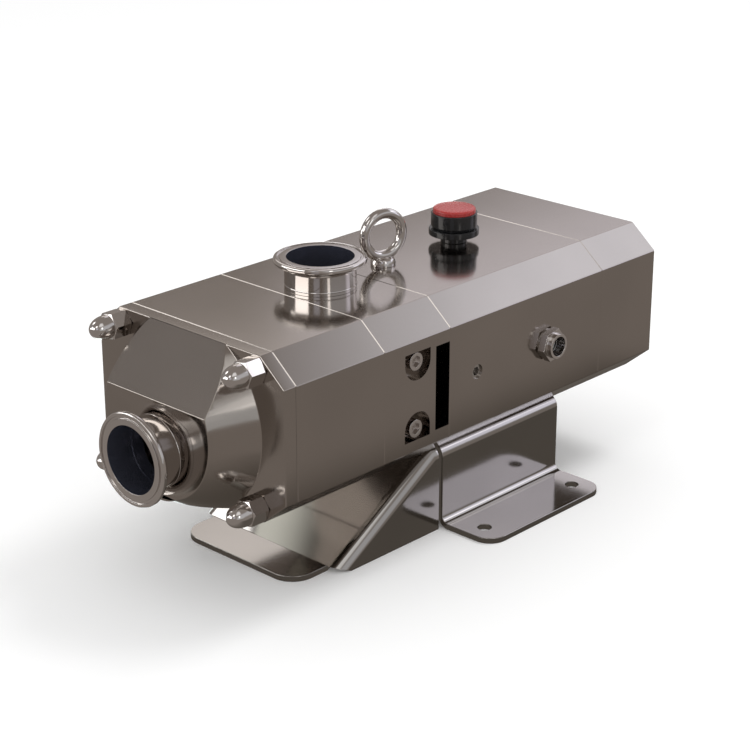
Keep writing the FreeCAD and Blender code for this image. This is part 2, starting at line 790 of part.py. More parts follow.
def drill(body, spots, start, depth):
    """Drills round holes along the shafts from a plane across the body."""
    return pocket(body, circles(new_sketch(body, "YZ_Plane", start), spots), depth, reverse=True)


def plate_screw_spots(across):
    """The six screws round the edge of the bearing plate."""
    spots = []
    for side in ("", "-"):
        for level in ("", "-"):
            spots.append((f"{side}shaft_side", f"{level}plate_screw_reach", across))
        spots.append((f"{side}(shaft_side + plate_screw_reach)", "0", across))
    return spots


def make_rear_bearing_plate():
    """The plate that holds the rear bearings, seated in the back of the gear case."""
    body = new_body("rear_bearing_plate")
    outline = stadium(new_sketch(body, "YZ_Plane", "plate_front"), "shaft_side", "plate_seat")
    pad(body, outline, "plate_thick")
    drill(body, both_shafts("plate_bore"), "plate_front", "plate_thick")
    drill(body, both_shafts("bearing_outer"), "rear_bearing_front", "plate_thick")
    drill(body, plate_screw_spots("plate_screw_size + hole_play"), "plate_front", "plate_thick")
    heads = plate_screw_spots("head_ratio * plate_screw_size + hole_play / 2")
    drill(body, heads, "rear_front - plate_screw_size", "plate_screw_size")


def make_rear_cover():
    """The deep rear cover with the drive shaft's seal seat and four sunk screw seats."""
    body = body_block("rear_cover", "rear_front", "rear_long")
    cavity = stadium(new_sketch(body, "YZ_Plane", "rear_front"), "shaft_side", "rear_cavity")
    pocket(body, cavity, "rear_long - rear_wall", reverse=True)
    hole = [("shaft_side", "0", "input_hole")]
    drill(body, hole, "rear_face - rear_wall", "rear_wall")
    seat = [("shaft_side", "0", "lip_seal_outer")]
    drill(body, seat, "input_seal_front", "input_seal_long")
    screws = four("rear_screw_y", "rear_screw_z", "rear_screw_size + hole_play")
    drill(body, screws, "rear_front", "rear_long")
    heads = four("rear_screw_y", "rear_screw_z", "rear_screw_seat")
    drill(body, heads, "rear_face - rear_screw_size - hole_play", "rear_long")
    groove = new_sketch(body, "YZ_Plane", "rear_front")
    stadium(groove, "shaft_side", "rear_seal_inner")
    stadium(groove, "shaft_side", "rear_seal_inner + seal_cord_wide")
    pocket(body, groove, "seal_cord_deep", reverse=True)


def seal_cord(label, front, inner):
    """A face seal that fills its racetrack groove."""
    body = new_body(label)
    sketch = new_sketch(body, "YZ_Plane", front)
    stadium(sketch, "shaft_side", inner)
    stadium(sketch, "shaft_side", f"{inner} + seal_cord_wide")
    pad(body, sketch, "seal_cord_deep")


def make_gland_plate():
    """The plate that carries both shaft seals, let into the wall behind the chamber."""
    body = new_body("seal_gland_plate")
    outline = stadium(new_sketch(body, "YZ_Plane", "slot_front"), "shaft_side", "gland_round")
    pad(body, outline, "gland_thick")
    spigots = circles(new_sketch(body, "YZ_Plane", "slot_front"), both_shafts("gland_spigot"))
    pad(body, spigots, "slot_front - chamber_back", reverse=True)
    drill(body, both_shafts("gland_bore"), "chamber_back", "gland_back - chamber_back")
    drill(body, both_shafts("stator_outer"), "chamber_back", "stator_seat")
    drill(body, gland_screw_spots("gland_screw_size + hole_play / 2"), "slot_front", "gland_thick")


def ring(body, front, back, inner, outer):
    """A plain ring about the body's own axis, from one place along it to another."""
    return turned(body, box_corners(front, f"{inner} / 2", back, f"{outer} / 2"))


def pair_of_rings(label, front, back, inner, outer):
    """The same ring on both shafts, as separate solids of one sub-part."""
    master = new_body(f"{label}_one", y="0", z="0", keep=False)
    ring(master, front, back, inner, outer)
    copies = []
    for name, side in SHAFTS:
        copies.append(copy_of(master, "0", side, "shaft_height"))
    return group(label, copies)


def cap_screw(label, size, long):
    """A socket head screw with the underside of its head at the origin and its shank along +X."""
    body = new_body(f"{label}_one", y="0", z="0", keep=False)
    head = f"head_ratio * {size} / 2"
    outline = [(f"-{size}", "0"), (f"-{size}", head), ("0", head)]
    outline += [("0", f"{size} / 2"), (long, f"{size} / 2"), (long, "0")]
    turned(body, outline)
    sketch = hexagon(new_sketch(body, "YZ_Plane", f"-{size}"), f"socket_ratio * {size}", 30)
    pocket(body, sketch, f"{size} / 2", reverse=True)
    return body


def screws_at(label, size, long, places, turn=None):
    """The same cap screw at several places, as separate solids of one sub-part."""
    master = cap_screw(label, size, long)
    group(label, [copy_of(master, x, y, z, turn) for x, y, z in places])


def raised(spots, x):
    """Places in the body's section as places in the room."""
    return [(x, y, f"shaft_height + ({z})") for y, z, across in spots]


AROUND_Y = FreeCAD.Vector(0, 1, 0)
AROUND_Z = FreeCAD.Vector(0, 0, 1)
POINT_UP = FreeCAD.Rotation(AROUND_Y, -90)
POINT_BACK = FreeCAD.Rotation(AROUND_Z, 180)


def make_body_screws():
    """The socket head screws of the gland plate, bearing plate, rear cover and right and left sides."""
    gland = raised(gland_screw_spots("0"), "gland_back")
    long = "gland_thick + gland_screw_grip"
    screws_at("gland_screws", "gland_screw_size", long, gland, POINT_BACK)
    plate = raised(plate_screw_spots("0"), "rear_front - plate_screw_size")
    long = "plate_thick - plate_screw_size + plate_screw_grip"
    screws_at("bearing_plate_screws", "plate_screw_size", long, plate, POINT_BACK)
    rear = raised(four("rear_screw_y", "rear_screw_z", "0"), "rear_face - rear_screw_size - hole_play")
    long = "rear_long - rear_screw_size - hole_play + rear_screw_grip"
    screws_at("rear_cover_screws", "rear_screw_size", long, rear, POINT_BACK)
    master = cap_screw("side_screws", "side_screw_size", "side_screw_deep - side_pocket_deep")
    copies = []
    for side, sign in SIDES:
        for level in ("", "-"):
            spin_in = FreeCAD.Rotation(AROUND_Z, -90 * sign)
            face = f"{sign} * (half_wide - side_pocket_deep)"
            height = f"shaft_height {level or '+'} side_screw_z"
            copies.append(copy_of(master, "side_screw_x", face, height, spin_in))
    group("side_screws", copies)


def make_foot_screws():
    """The screws that hold the feet under the gear case."""
    brackets = []
    for x in ("", "-"):
        for y in ("", "-"):
            spot = (f"{x}foot_hole_x / 2", f"{y}bracket_screw_y / 2", "body_under - foot_plate")
            brackets.append(spot)
    long = "foot_plate + bracket_screw_grip"
    screws_at("bracket_screws", "bracket_screw_size", long, brackets, POINT_UP)
    pedestal = []
    for y in ("", "-"):
        spot = ("-pedestal_screw_back", f"{y}pedestal_screw_y / 2", "body_under - foot_plate")
        pedestal.append(spot)
    screws_at("pedestal_screws", "bracket_screw_size", long, pedestal, POINT_UP)


def make_ties():
    """The tie rods that clamp the pump's front end, their domed nuts, and the dowels at its joints."""
    rod = new_body("tie_rods_one", y="0", z="0", keep=False)
    turned(rod, box_corners("cover_front - nut_thread", "0", "case_front + tie_grip", "tie_size / 2"))
    nut = new_body("acorn_nuts_one", y="0", z="0", keep=False)
    pad(nut, hexagon(new_sketch(nut, "YZ_Plane"), "nut_flats", "nut_turn"), "nut_long", reverse=True)
    for corner, inward in (("-nut_long", ""), ("0", "-")):
        lean = [(corner, "nut_flats / 2"), (corner, "nut_flats")]
        lean.append((f"{corner} + {inward}nut_flats / (2 * sqrt(3))", "nut_flats"))
        turned(nut, lean, kind="Groove")
    dome = [("-nut_long - dome_long", "0"), ("-nut_long - dome_long", "dome_outer / 2", "dome_round")]
    dome += [("-nut_long", "dome_outer / 2"), ("-nut_long", "0")]
    turned(nut, dome)
    sketch = circles(new_sketch(nut, "YZ_Plane"), [("0", "0", "tie_size")])
    pocket(nut, sketch, "nut_thread")
    ties = four("tie_y", "tie_z", "0")
    group("tie_rods", [copy_of(rod, *spot) for spot in raised(ties, "0")])
    group("acorn_nuts", [copy_of(nut, *spot) for spot in raised(ties, "cover_front")])

    dowel = new_body("dowel_pins_one", y="0", z="0", keep=False)
    turned(dowel, box_corners("-dowel_long / 2", "0", "dowel_long / 2", "dowel_size / 2"))
    copies = []
    for joint in ("casing_front", "port_front", "case_front"):
        for y, z in (("dowel_y", "-dowel_z"), ("-dowel_y", "dowel_z")):
            copies.append(copy_of(dowel, joint, y, f"shaft_height + ({z})"))
    group("dowel_pins", copies)


def make_bearing_rings():
    """The fixed rings of the four roller bearings and the fixed parts of the shaft seals."""
    for end, front in (("front", "bearing_front"), ("rear", "rear_bearing_front")):
        back = f"{front} + bearing_long"
        pair_of_rings(f"{end}_bearing_outer_rings", front, back, "(2 * race_outer)", "bearing_outer")
    front = "seal_ring_back + seal_gap"
    back = "chamber_back + stator_seat"
    pair_of_rings("seal_stationary_rings", front, back, "stator_bore", "stator_outer")
    back = "case_front + lip_seal_long"
    pair_of_rings("gear_case_lip_seals", "case_front", back, "lip_seal_bore", "lip_seal_outer")
    body = new_body("input_lip_seal", y="shaft_side")
    ring(body, "input_seal_front", "rear_face", "input_seal_bore", "lip_seal_outer")


def make_shaft(name, side):
    """A stepped shaft with its keys. The drive shaft runs on through the rear cover."""
    drive = name == "drive"
    shaft = new_body(f"{name}_shaft", y=side)
    steps = [("screw_front - spigot_long", "shaft_spigot"), ("screw_front", "shaft_screw")]
    steps += [("hub_back", "shaft_seal"), ("bearing_front", "shaft_bearing")]
    steps += [("bearing_back", "shaft_middle"), ("gear_front", "shaft_bearing")]
    steps += [("lock_nut_back", "shaft_input")]
    end = "driven_end"
    if drive:
        steps.append(("shaft_step", "shaft_end"))
        end = "drive_end"
    outline = [(steps[0][0], "0")]
    for number, (start, across) in enumerate(steps):
        finish = steps[number + 1][0] if number + 1 < len(steps) else end
        outline += [(start, f"{across} / 2"), (finish, f"{across} / 2")]
    outline.append((end, "0"))
    turned(shaft, outline)
    keyway(shaft, "screw_middle", "screw_key_long", "shaft_screw")
    keyway(shaft, "gear_middle", "gear_key_long", "shaft_bearing")
    if drive:
        keyway(shaft, "end_key_middle", "end_key_long", "shaft_end")
    make_key(f"{name}_screw_key", side, "screw_middle", "screw_key_long", "shaft_screw")
    make_key(f"{name}_gear_key", side, "gear_middle", "gear_key_long", "shaft_bearing")


def make_screw_nut(name, side):
    """The domed nut that clamps a screw on its shaft, and the turning ring of the shaft's seal."""
    nut = new_body(f"{name}_screw_nut", y=side)
    front = "screw_front - cap_nut_long"
    profile = [(front, "0"), (front, "cap_nut_outer / 2", "cap_nut_long / 2")]
    profile += [("screw_front", "cap_nut_outer / 2"), ("screw_front", "shaft_spigot / 2")]
    profile += [("screw_front - spigot_long", "shaft_spigot / 2"), ("screw_front - spigot_long", "0")]
    turned(nut, profile)
    seal = new_body(f"{name}_seal_ring", y=side)
    ring(seal, "hub_back", "seal_ring_back", "shaft_seal", "seal_ring_outer")


def make_bearings(name, side):
    """The turning rings and rollers of the two bearings on a shaft."""
    inner = new_body(f"{name}_ring_one", y="0", z="0", keep=False)
    ring(inner, "0", "bearing_long", "shaft_bearing", "(2 * race_inner)")
    fronts = ("bearing_front", "rear_bearing_front")
    copies = [copy_of(inner, front, side, "shaft_height") for front in fronts]
    group(f"{name}_bearing_inner_rings", copies)
    roller = new_body(f"{name}_roller_one", y="0", z="0", keep=False)
    spot = [("0", "roller_circle", "2 * roller_radius")]
    start = "(bearing_long - roller_long) / 2"
    first = pad(roller, circles(new_sketch(roller, "YZ_Plane", start), spot), "roller_long")
    around = roller.newObject("PartDesign::PolarPattern", f"{name}_rollers")
    around.Originals = [first]
    axis = next(item for item in roller.Origin.OriginFeatures if item.Role == "X_Axis")
    around.Axis = (axis, [""])
    around.Angle = 360
    around.Occurrences = round(sheet.get("roller_count"))
    roller.Tip = around
    roller.recompute(True)
    copies = [copy_of(roller, front, side, "shaft_height") for front in fronts]
    group(f"{name}_bearing_rollers", copies)


def make_spacer_and_nut(name, side):
    """The tube between gear and rear bearing, and the slotted nut that clamps them."""
    spacer = new_body(f"{name}_spacer", y=side)
    ring(spacer, "gear_back", "rear_bearing_front", "shaft_bearing", "spacer_outer")
    lock = new_body(f"{name}_lock_nut", y=side)
    ring(lock, "rear_bearing_back", "lock_nut_back", "shaft_bearing", "lock_nut_outer")
    for sign in ("", "-"):
        slot = box_corners(f"{sign}slot_floor", "-half_slot", f"{sign}lock_nut_outer", "half_slot")
        for outline in (slot, swapped(slot)):
            sketch = polygon(new_sketch(lock, "YZ_Plane", "rear_bearing_back"), outline)
            pocket(lock, sketch, "lock_nut_long", reverse=True)


def keyway(shaft, middle, long, across):
    """Cuts a round-ended keyway into the top of a shaft."""
    sketch = new_sketch(shaft, "XY_Plane", f"{across} / 2 - key_sunk", right=middle)
    stadium(sketch, f"({long} - key_wide) / 2", "key_wide / 2")
    pocket(shaft, sketch, "key_high", reverse=True)


def make_key(label, side, middle, long, across):
    """A round-ended key in its keyway."""
    body = new_body(label, y=side)
    sketch = new_sketch(body, "XY_Plane", f"{across} / 2 - key_sunk", right=middle)
    stadium(sketch, f"({long} - key_wide) / 2", "key_wide / 2")
    pad(body, sketch, "key_high")


def make_screw(name, side):
    """A pumping screw: a hub, one deep square thread, and a bore with a slot for the key."""
    body = new_body(f"{name}_screw", y=side)
    end = "screw_front + screw_long"
    ring(body, "screw_front", end, "shaft_screw", "screw_root")
    lag = "thread_land" if name == "drive" else "thread_land + screw_pitch / 2"
    start = f"screw_front - ({lag})"
    foot = "screw_root / 2 - thread_root"
    tip = "screw_outer / 2"
    outline = box_corners(start, foot, f"{start} + thread_land", tip)
    profile = polygon(new_sketch(body, "XZ_Plane"), outline)
    thread = body.newObject("PartDesign::AdditiveHelix", f"{name}_thread")
    thread.Profile = profile
    thread.ReferenceAxis = (profile, ["H_Axis"])
    thread.Mode = 0
    thread.LeftHanded = name == "driven"
    bind(thread, Pitch="screw_pitch", Height="screw_long + thread_land + screw_pitch")
    thread.recompute(True)
    body.recompute(True)
    waste = box_corners("screw_front - 4 * screw_pitch", "0", "screw_front", "screw_outer")
    turned(body, waste, kind="Groove")
    waste = box_corners(end, "0", f"{end} + 4 * screw_pitch", "screw_outer")
    turned(body, waste, kind="Groove")
    ring(body, end, "hub_back", "shaft_screw", "screw_root")
    slot = box_corners("-key_wide / 2", "0", "key_wide / 2", "shaft_screw / 2 - key_sunk + key_high")
    sketch = polygon(new_sketch(body, "YZ_Plane", "screw_front"), slot)
    pocket(body, sketch, "screw_long + hub_long", reverse=True)


def gear_outline(half_turn):
    """The toothed outline of one timing gear, with each flank a smooth arc near its involute."""
    teeth = round(sheet.get("gear_teeth"))
    pitch_radius = sheet.get("centre_distance") / 2
    module = 2 * pitch_radius / teeth
    pressure = math.radians(20)
    base = pitch_radius * math.cos(pressure)
    tip = pitch_radius + module
    root = pitch_radius - (1 + sheet.get("gear_relief")) * module
    half_tooth = math.pi / (2 * teeth) - sheet.get("gear_backlash") / (4 * pitch_radius)

    def involute(angle):
        return math.tan(angle) - angle

    def flank_angle(radius):
        lean = math.acos(min(1.0, base / radius))
        return half_tooth + involute(pressure) - involute(lean)

    def point(radius, angle):
        return FreeCAD.Vector(0, radius * math.cos(angle), radius * math.sin(angle))

    def arc(a, b, c):
        return Part.Arc(a, b, c).toShape()

    edges = []
    step = 2 * math.pi / teeth
    middle = (base + tip) / 2
    for tooth in range(teeth):
        centre = (tooth + half_turn) * step
        low, mid, high = flank_angle(base), flank_angle(middle), flank_angle(tip)
        rising = [point(root, centre - low), point(base, centre - low)]
        rising += [point(middle, centre - mid), point(tip, centre - high)]
        falling = [point(tip, centre + high), point(middle, centre + mid)]
        falling += [point(base, centre + low), point(root, centre + low)]
        edges.append(Part.LineSegment(rising[0], rising[1]).toShape())
        edges.append(arc(rising[1], rising[2], rising[3]))
        edges.append(arc(rising[3], point(tip, centre), falling[0]))
        edges.append(arc(falling[0], falling[1], falling[2]))
        edges.append(Part.LineSegment(falling[2], falling[3]).toShape())
        gap = point(root, centre + step / 2)
        edges.append(arc(falling[3], gap, point(root, centre + step - low)))
    return Part.Wire(Part.sortEdges(edges)[0])


def make_gear(name, side):
    """A timing gear with a bore and a slot for its key."""
    half_turn = 0 if name == "drive" else 0.5
    if round(sheet.get("gear_teeth")) % 2:
        half_turn = 0
    face = Part.Face(gear_outline(half_turn))
    width = sheet.get("gear_face")
    solid = face.extrude(FreeCAD.Vector(width, 0, 0))
    bore = sheet.get("shaft_bearing") / 2
    solid = solid.cut(Part.makeCylinder(bore, width, FreeCAD.Vector(), FreeCAD.Vector(1, 0, 0)))
    wide = sheet.get("key_wide")
    top = bore - sheet.get("key_sunk") + sheet.get("key_high")
    slot = Part.makeBox(width, wide, top, FreeCAD.Vector(0, -wide / 2, 0))
    gear = doc.addObject("Part::Feature", f"{name}_gear")
    gear.Shape = solid.cut(slot)
    place(gear, "gear_front", side, "shaft_height")
    sub_parts.append(gear)


def make_eye_bolt():
    """The lifting eye: a ring standing along the pump on a short waisted collar."""
    body = new_body("eye_bolt", x="eye_x", z="body_top")
    mid = "(eye_outer - eye_section) / 2"
    sketch = new_sketch(body, "XY_Plane", "eye_rise")
    circles(sketch, [(mid, "0", "eye_section")])
    spin(body, "Revolution", sketch, "V_Axis")
    stem = [("0", "0"), ("eye_collar / 2", "0"), ("eye_neck / 2", "eye_collar_high")]
    stem += [("0", "eye_collar_high")]
    turned(body, stem, axis="V_Axis")
    waste = box_corners("0", "-eye_section", "eye_outer", "0")
    turned(body, waste, axis="V_Axis", kind="Groove")
    shank = circles(new_sketch(body, "XY_Plane"), [("0", "0", "eye_thread")])
    pad(body, shank, "eye_thread_long", reverse=True)


def make_breather():
    """The oil filler and breather: a threaded neck with a lip, a cap over it and a disc on top."""
    lip_top = "breather_neck_high + breather_lip_high"
    body = new_body("breather_body", x="breather_x", z="body_top")
    outline = [("0", "-breather_thread_long"), ("breather_thread / 2", "-breather_thread_long")]
    outline += [("breather_thread / 2", "0"), ("breather_neck / 2", "0")]
    outline += [("breather_neck / 2", "breather_neck_high"), ("breather_lip / 2", "breather_neck_high")]
    outline += [("breather_lip / 2", lip_top), ("0", lip_top)]
    turned(body, outline, axis="V_Axis")
    groove_top = f"{lip_top} + breather_groove_high"
    cap_top = f"{groove_top} + breather_cap_high"
    cap = new_body("breather_cap", x="breather_x", z="body_top")
    shell = [("breather_groove / 2 - breather_wall", lip_top), ("breather_groove / 2", lip_top)]
    shell += [("breather_groove / 2", groove_top), ("breather_cap_outer / 2", groove_top)]
    shell += [("breather_cap_outer / 2", cap_top), ("0", cap_top)]
    shell += [("0", f"{cap_top} - breather_wall")]
    shell += [("breather_groove / 2 - breather_wall", f"{cap_top} - breather_wall")]
    turned(cap, shell, axis="V_Axis")
    disc = new_body("breather_disc", x="breather_x", z="body_top")
    outline = [("0", cap_top), ("disc_outer / 2", cap_top), ("disc_outer / 2", f"{cap_top} + disc_edge")]
    outline += [("disc_outer / 4", f"{cap_top} + disc_edge + disc_half_rise")]
    outline += [("0", f"{cap_top} + disc_edge + disc_rise")]
    turned(disc, outline, axis="V_Axis")


def make_oil_fittings():
    """The oil level glass on the near side and the sunk plug beside it."""
    washer = new_body("sight_glass_gasket", x="glass_x", y="-half_wide")
    outline = [("glass_thread / 2", "0"), ("glass_flats / 2", "0")]
    outline += [("glass_flats / 2", "-glass_gasket"), ("glass_thread / 2", "-glass_gasket")]
    turned(washer, outline, role="XY_Plane", axis="V_Axis")
    hex_front = "glass_gasket + glass_hex_long"
    collar_front = "glass_gasket + glass_hex_long + glass_collar_long"
    body = new_body("sight_glass_body", x="glass_x", y="-half_wide")
    hexed = hexagon(new_sketch(body, "XZ_Plane", "glass_gasket"), "glass_flats", "glass_turn")
    pad(body, hexed, "glass_hex_long")
    rounds = circles(new_sketch(body, "XZ_Plane", hex_front), [("0", "0", "glass_collar")])
    pad(body, rounds, "glass_collar_long")
    thread = circles(new_sketch(body, "XZ_Plane", "glass_gasket"), [("0", "0", "glass_thread")])
    pad(body, thread, "glass_gasket + glass_thread_long", reverse=True)
    mouth = circles(new_sketch(body, "XZ_Plane", collar_front), [("0", "0", "glass_recess")])
    pocket(body, mouth, "glass_recess_deep + glass_lens_long")
    sight = circles(new_sketch(body, "XZ_Plane", collar_front), [("0", "0", "glass_sight")])
    pocket(body, sight, f"{collar_front} + glass_thread_long")
    lens = new_body("sight_glass_lens", x="glass_x", y="-half_wide")
    back = f"{collar_front} - glass_recess_deep"
    disc = circles(new_sketch(lens, "XZ_Plane", back), [("0", "0", "glass_recess")])
    pad(lens, disc, "glass_lens_long", reverse=True)
    plug = new_body("oil_plug", x="plug_x", y="-half_wide")
    disc = circles(new_sketch(plug, "XZ_Plane", "-plug_sunk"), [("0", "0", "plug_size")])
    pad(plug, disc, "plug_long", reverse=True)
    socket = hexagon(new_sketch(plug, "XZ_Plane", "-plug_sunk"), "plug_socket", "0")
    pocket(plug, socket, "plug_socket_deep")


def make_bracket(name, sign):
    """A side foot: one plate bent in under the body and out along the floor."""
    label = f"{name}_bracket"
    body = new_body(label, x="bracket_shift", z="0")
    mirror = "" if sign > 0 else "-"
    section = [("bracket_foot_wide / 2", "0"), ("bracket_foot_wide / 2", "foot_plate")]
    section += [("wall_half", "foot_plate", "foot_bend"), ("wall_half", "body_under", "bend_outer")]
    section += [("wall_half - bracket_flange", "body_under")]
    section += [("wall_half - bracket_flange", "body_under - foot_plate")]
    section += [("wall_inner", "body_under - foot_plate", "foot_bend"), ("wall_inner", "0", "bend_outer")]
    outline = [(f"{mirror}({corner[0]})", *corner[1:]) for corner in section]
    sketch = polygon(new_sketch(body, "YZ_Plane", "-bracket_long / 2"), outline)
    base = pad(body, sketch, "bracket_long")
    outer = sheet.get("bracket_foot_wide") / 2 - 0.01

    def outer_corner(start, end):
        upright = abs(start.x - end.x) < 0.01 and abs(start.y - end.y) < 0.01
        return upright and abs(start.y) > outer

    fillet(body, edges_where(base, outer_corner), "bracket_corner")
    holes = []
    for x in ("", "-"):
        holes.append((f"{x}foot_hole_x / 2 - bracket_shift", f"{mirror}foot_hole_y / 2", "foot_hole"))
    pocket(body, circles(new_sketch(body, "XY_Plane", "foot_plate"), holes), "foot_plate")
    across = "bracket_screw_size + hole_play"
    holes = []
    for x in ("", "-"):
        holes.append((f"{x}foot_hole_x / 2 - bracket_shift", f"{mirror}bracket_screw_y / 2", across))
    pocket(body, circles(new_sketch(body, "XY_Plane", "body_under"), holes), "foot_plate")


def make_pedestal():
    """The front foot: a sloped folded plate with side webs, a toe and a flange under the body."""
    body = new_body("front_pedestal", z="0")
    wedge = [("-pedestal_bend", "0"), ("-pedestal_bend", "foot_plate")]
    wedge += [("-pedestal_top", "body_under"), ("-pedestal_back", "body_under")]
    wedge += [("-pedestal_back", "0")]
    sketch = polygon(new_sketch(body, "XZ_Plane", "-wall_half"), wedge)
    base = pad(body, sketch, "bracket_wall")
    wide = sheet.get("bracket_wall") / 2 - 0.01
    high = sheet.get("foot_plate") - 0.01

    def long_top_edge(start, end):
        side = abs(start.y - end.y) < 0.01 and abs(start.y) > wide
        return side and min(start.z, end.z) > high and abs(start.x - end.x) > 1

    fillet(body, edges_where(base, long_top_edge), "bend_outer")
    hollow = [("pedestal_inner_low", "0"), ("pedestal_inner_high", "foot_rise")]
    hollow += [("cut_past - pedestal_back", "foot_rise"), ("cut_past - pedestal_back", "-cut_past")]
    hollow += [("pedestal_inner_low", "-cut_past")]
    sketch = polygon(new_sketch(body, "XZ_Plane", "-wall_inner"), hollow)
    cut = pocket(body, sketch, "2 * wall_inner", True)
    inside = sheet.get("bracket_wall") / 2 - sheet.get("foot_plate")

    def inner_bend(start, end):
        along = abs(start.y - end.y) < 0.01 and abs(abs(start.y) - inside) < 0.01
        return along and max(start.z, end.z) > high and abs(start.x - end.x) > 1

    fillet(body, edges_where(cut, inner_bend), "foot_bend")
    for face, inward in (("-wall_half", True), ("wall_half", False)):
        relief = [("-pedestal_bend - cut_past", "foot_plate"), ("-pedestal_bend", "foot_plate")]
        relief += [("pedestal_relief - pedestal_bend", "0")]
        relief += [("pedestal_relief - pedestal_bend", "-cut_past")]
        relief += [("-pedestal_bend - cut_past", "-cut_past")]
        sketch = polygon(new_sketch(body, "XZ_Plane", face), relief)
        pocket(body, sketch, "(bracket_wall - pedestal_foot_wide) / 2", inward)
    toe = new_sketch(body, "XY_Plane")
    half = "pedestal_foot_wide / 2"
    outline = [("-pedestal_bend", f"-{half}"), ("-pedestal_bend", half)]
    outline += [("-pedestal_toe", half, "pedestal_corner")]
    outline += [("-pedestal_toe", f"-{half}", "pedestal_corner")]
    pad(body, polygon(toe, outline), "foot_plate")
    half = "pedestal_flange_wide / 2"
    outline = box_corners("-pedestal_back", f"-{half}", "-pedestal_flange_end", half)
    sketch = polygon(new_sketch(body, "XY_Plane", "foot_rise"), outline)
    pad(body, sketch, "foot_plate")
    holes = []
    for y in ("", "-"):
        across = "bracket_screw_size + hole_play"
        holes.append(("-pedestal_screw_back", f"{y}pedestal_screw_y / 2", across))
    pocket(body, circles(new_sketch(body, "XY_Plane", "body_under"), holes), "foot_plate")


make_front_cover()
make_inlet_ferrule()
make_outlet_ferrule()
make_rotor_casing()
make_port_housing()
make_gear_case()
make_rear_bearing_plate()
make_rear_cover()
seal_cord("front_cover_seal", "casing_front", "seal_cord_inner")
seal_cord("rotor_casing_seal", "port_front", "seal_cord_inner")
seal_cord("rear_cover_seal", "rear_front", "rear_seal_inner")
make_gland_plate()
make_bearing_rings()
make_body_screws()
make_foot_screws()
make_ties()
for name, side in SHAFTS:
    make_shaft(name, side)
    make_screw(name, side)
    make_screw_nut(name, side)
    make_bearings(name, side)
    make_gear(name, side)
    make_spacer_and_nut(name, side)
make_eye_bolt()
make_breather()
make_oil_fittings()
for name, sign in SIDES:
    make_bracket(name, sign)
make_pedestal()
doc.recompute()

faults = []
for item in doc.Objects:
    if "Invalid" in item.State or "Error" in item.State:
        faults.append(f"{item.Name}: {item.getStatusString()}")
for piece in sub_parts:
    if piece.Shape.isNull() or not piece.Shape.isValid():
        faults.append(f"{piece.Label}: its shape is null or not valid")
if faults:
    raise RuntimeError("; ".join(faults))

os.makedirs("parts", exist_ok=True)
for piece in sub_parts:
    piece.Shape.exportStep(os.path.join("parts", f"{piece.Label}.step"))
    print(f"{piece.Label}: {len(piece.Shape.Solids)} solids, {piece.Shape.Volume:.0f} mm3")
print(f"{len(sub_parts)} sub-parts")
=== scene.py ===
# %% [markdown]
# A twin screw pump in satin and polished stainless steel
#
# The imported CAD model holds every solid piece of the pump. This lesson gives those pieces their
# surfaces and adds the small forms that a machinist would leave: weld seams, rounded rims and edges,
# and the turned corners of the nuts. It starts by loading the model. Lengths are in metres.

# %% Load the frame
import math

import bpy
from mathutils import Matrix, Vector


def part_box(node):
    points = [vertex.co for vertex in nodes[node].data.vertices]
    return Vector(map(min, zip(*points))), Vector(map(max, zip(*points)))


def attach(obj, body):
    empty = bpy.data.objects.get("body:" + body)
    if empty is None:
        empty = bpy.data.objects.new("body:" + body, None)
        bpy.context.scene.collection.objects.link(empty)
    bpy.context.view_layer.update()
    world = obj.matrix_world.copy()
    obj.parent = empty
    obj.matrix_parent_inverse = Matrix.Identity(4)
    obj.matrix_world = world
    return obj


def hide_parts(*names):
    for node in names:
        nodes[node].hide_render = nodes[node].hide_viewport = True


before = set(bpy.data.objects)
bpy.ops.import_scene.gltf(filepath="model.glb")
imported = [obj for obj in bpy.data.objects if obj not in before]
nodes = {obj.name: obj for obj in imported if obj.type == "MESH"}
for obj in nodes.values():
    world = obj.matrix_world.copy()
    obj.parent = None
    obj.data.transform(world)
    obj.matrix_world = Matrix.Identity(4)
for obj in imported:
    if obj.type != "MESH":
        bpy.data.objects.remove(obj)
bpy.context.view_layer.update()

# %% [markdown]
# The camera stands where the photographer's stood. Its direction and lens come from the straight
# edges of the pump's body, which meet at two vanishing points. A long lens keeps the perspective
# gentle, so the camera is about two metres away.

# %% Camera
AZIMUTH = math.radians(-46.67)
ELEVATION = math.radians(21.57)
DISTANCE = 2.0227
LENS = 96.05
SENSOR = 36.0
FAR_CLIP = 60.0
AIM = Vector((-0.086, 0.0, 0.137))


def towards(azimuth, elevation):
    """The direction from the pump to a point at an azimuth and elevation."""
    flat = math.cos(elevation)
    return Vector((math.sin(azimuth) * flat, -math.cos(azimuth) * flat, math.sin(elevation)))


def look_back(thing, way):
    """Turns a camera or lamp that stands in a direction from the pump, so that it looks at the pump."""
    thing.rotation_mode = "QUATERNION"
    thing.rotation_quaternion = (-way).to_track_quat("-Z", "Y")


camera_way = towards(AZIMUTH, ELEVATION)
bpy.ops.object.camera_add(location=AIM + camera_way * DISTANCE)
camera = bpy.context.object
camera.name = "photo_camera"
look_back(camera, camera_way)
camera.data.lens = LENS
camera.data.sensor_width = SENSOR
camera.data.clip_end = FAR_CLIP
bpy.context.scene.camera = camera
print("camera at", [round(value, 3) for value in camera.location])

# %% [markdown]
# Nodes in a material are joined by links, and a small helper keeps that short: it adds a node,
# sets its plain inputs and joins the inputs that are given as another node's output. The others
# make a noise, spread it over a range and use it to blend two colours.

# %% Material helpers
NOISE_LOW = 0.3
NOISE_HIGH = 0.7


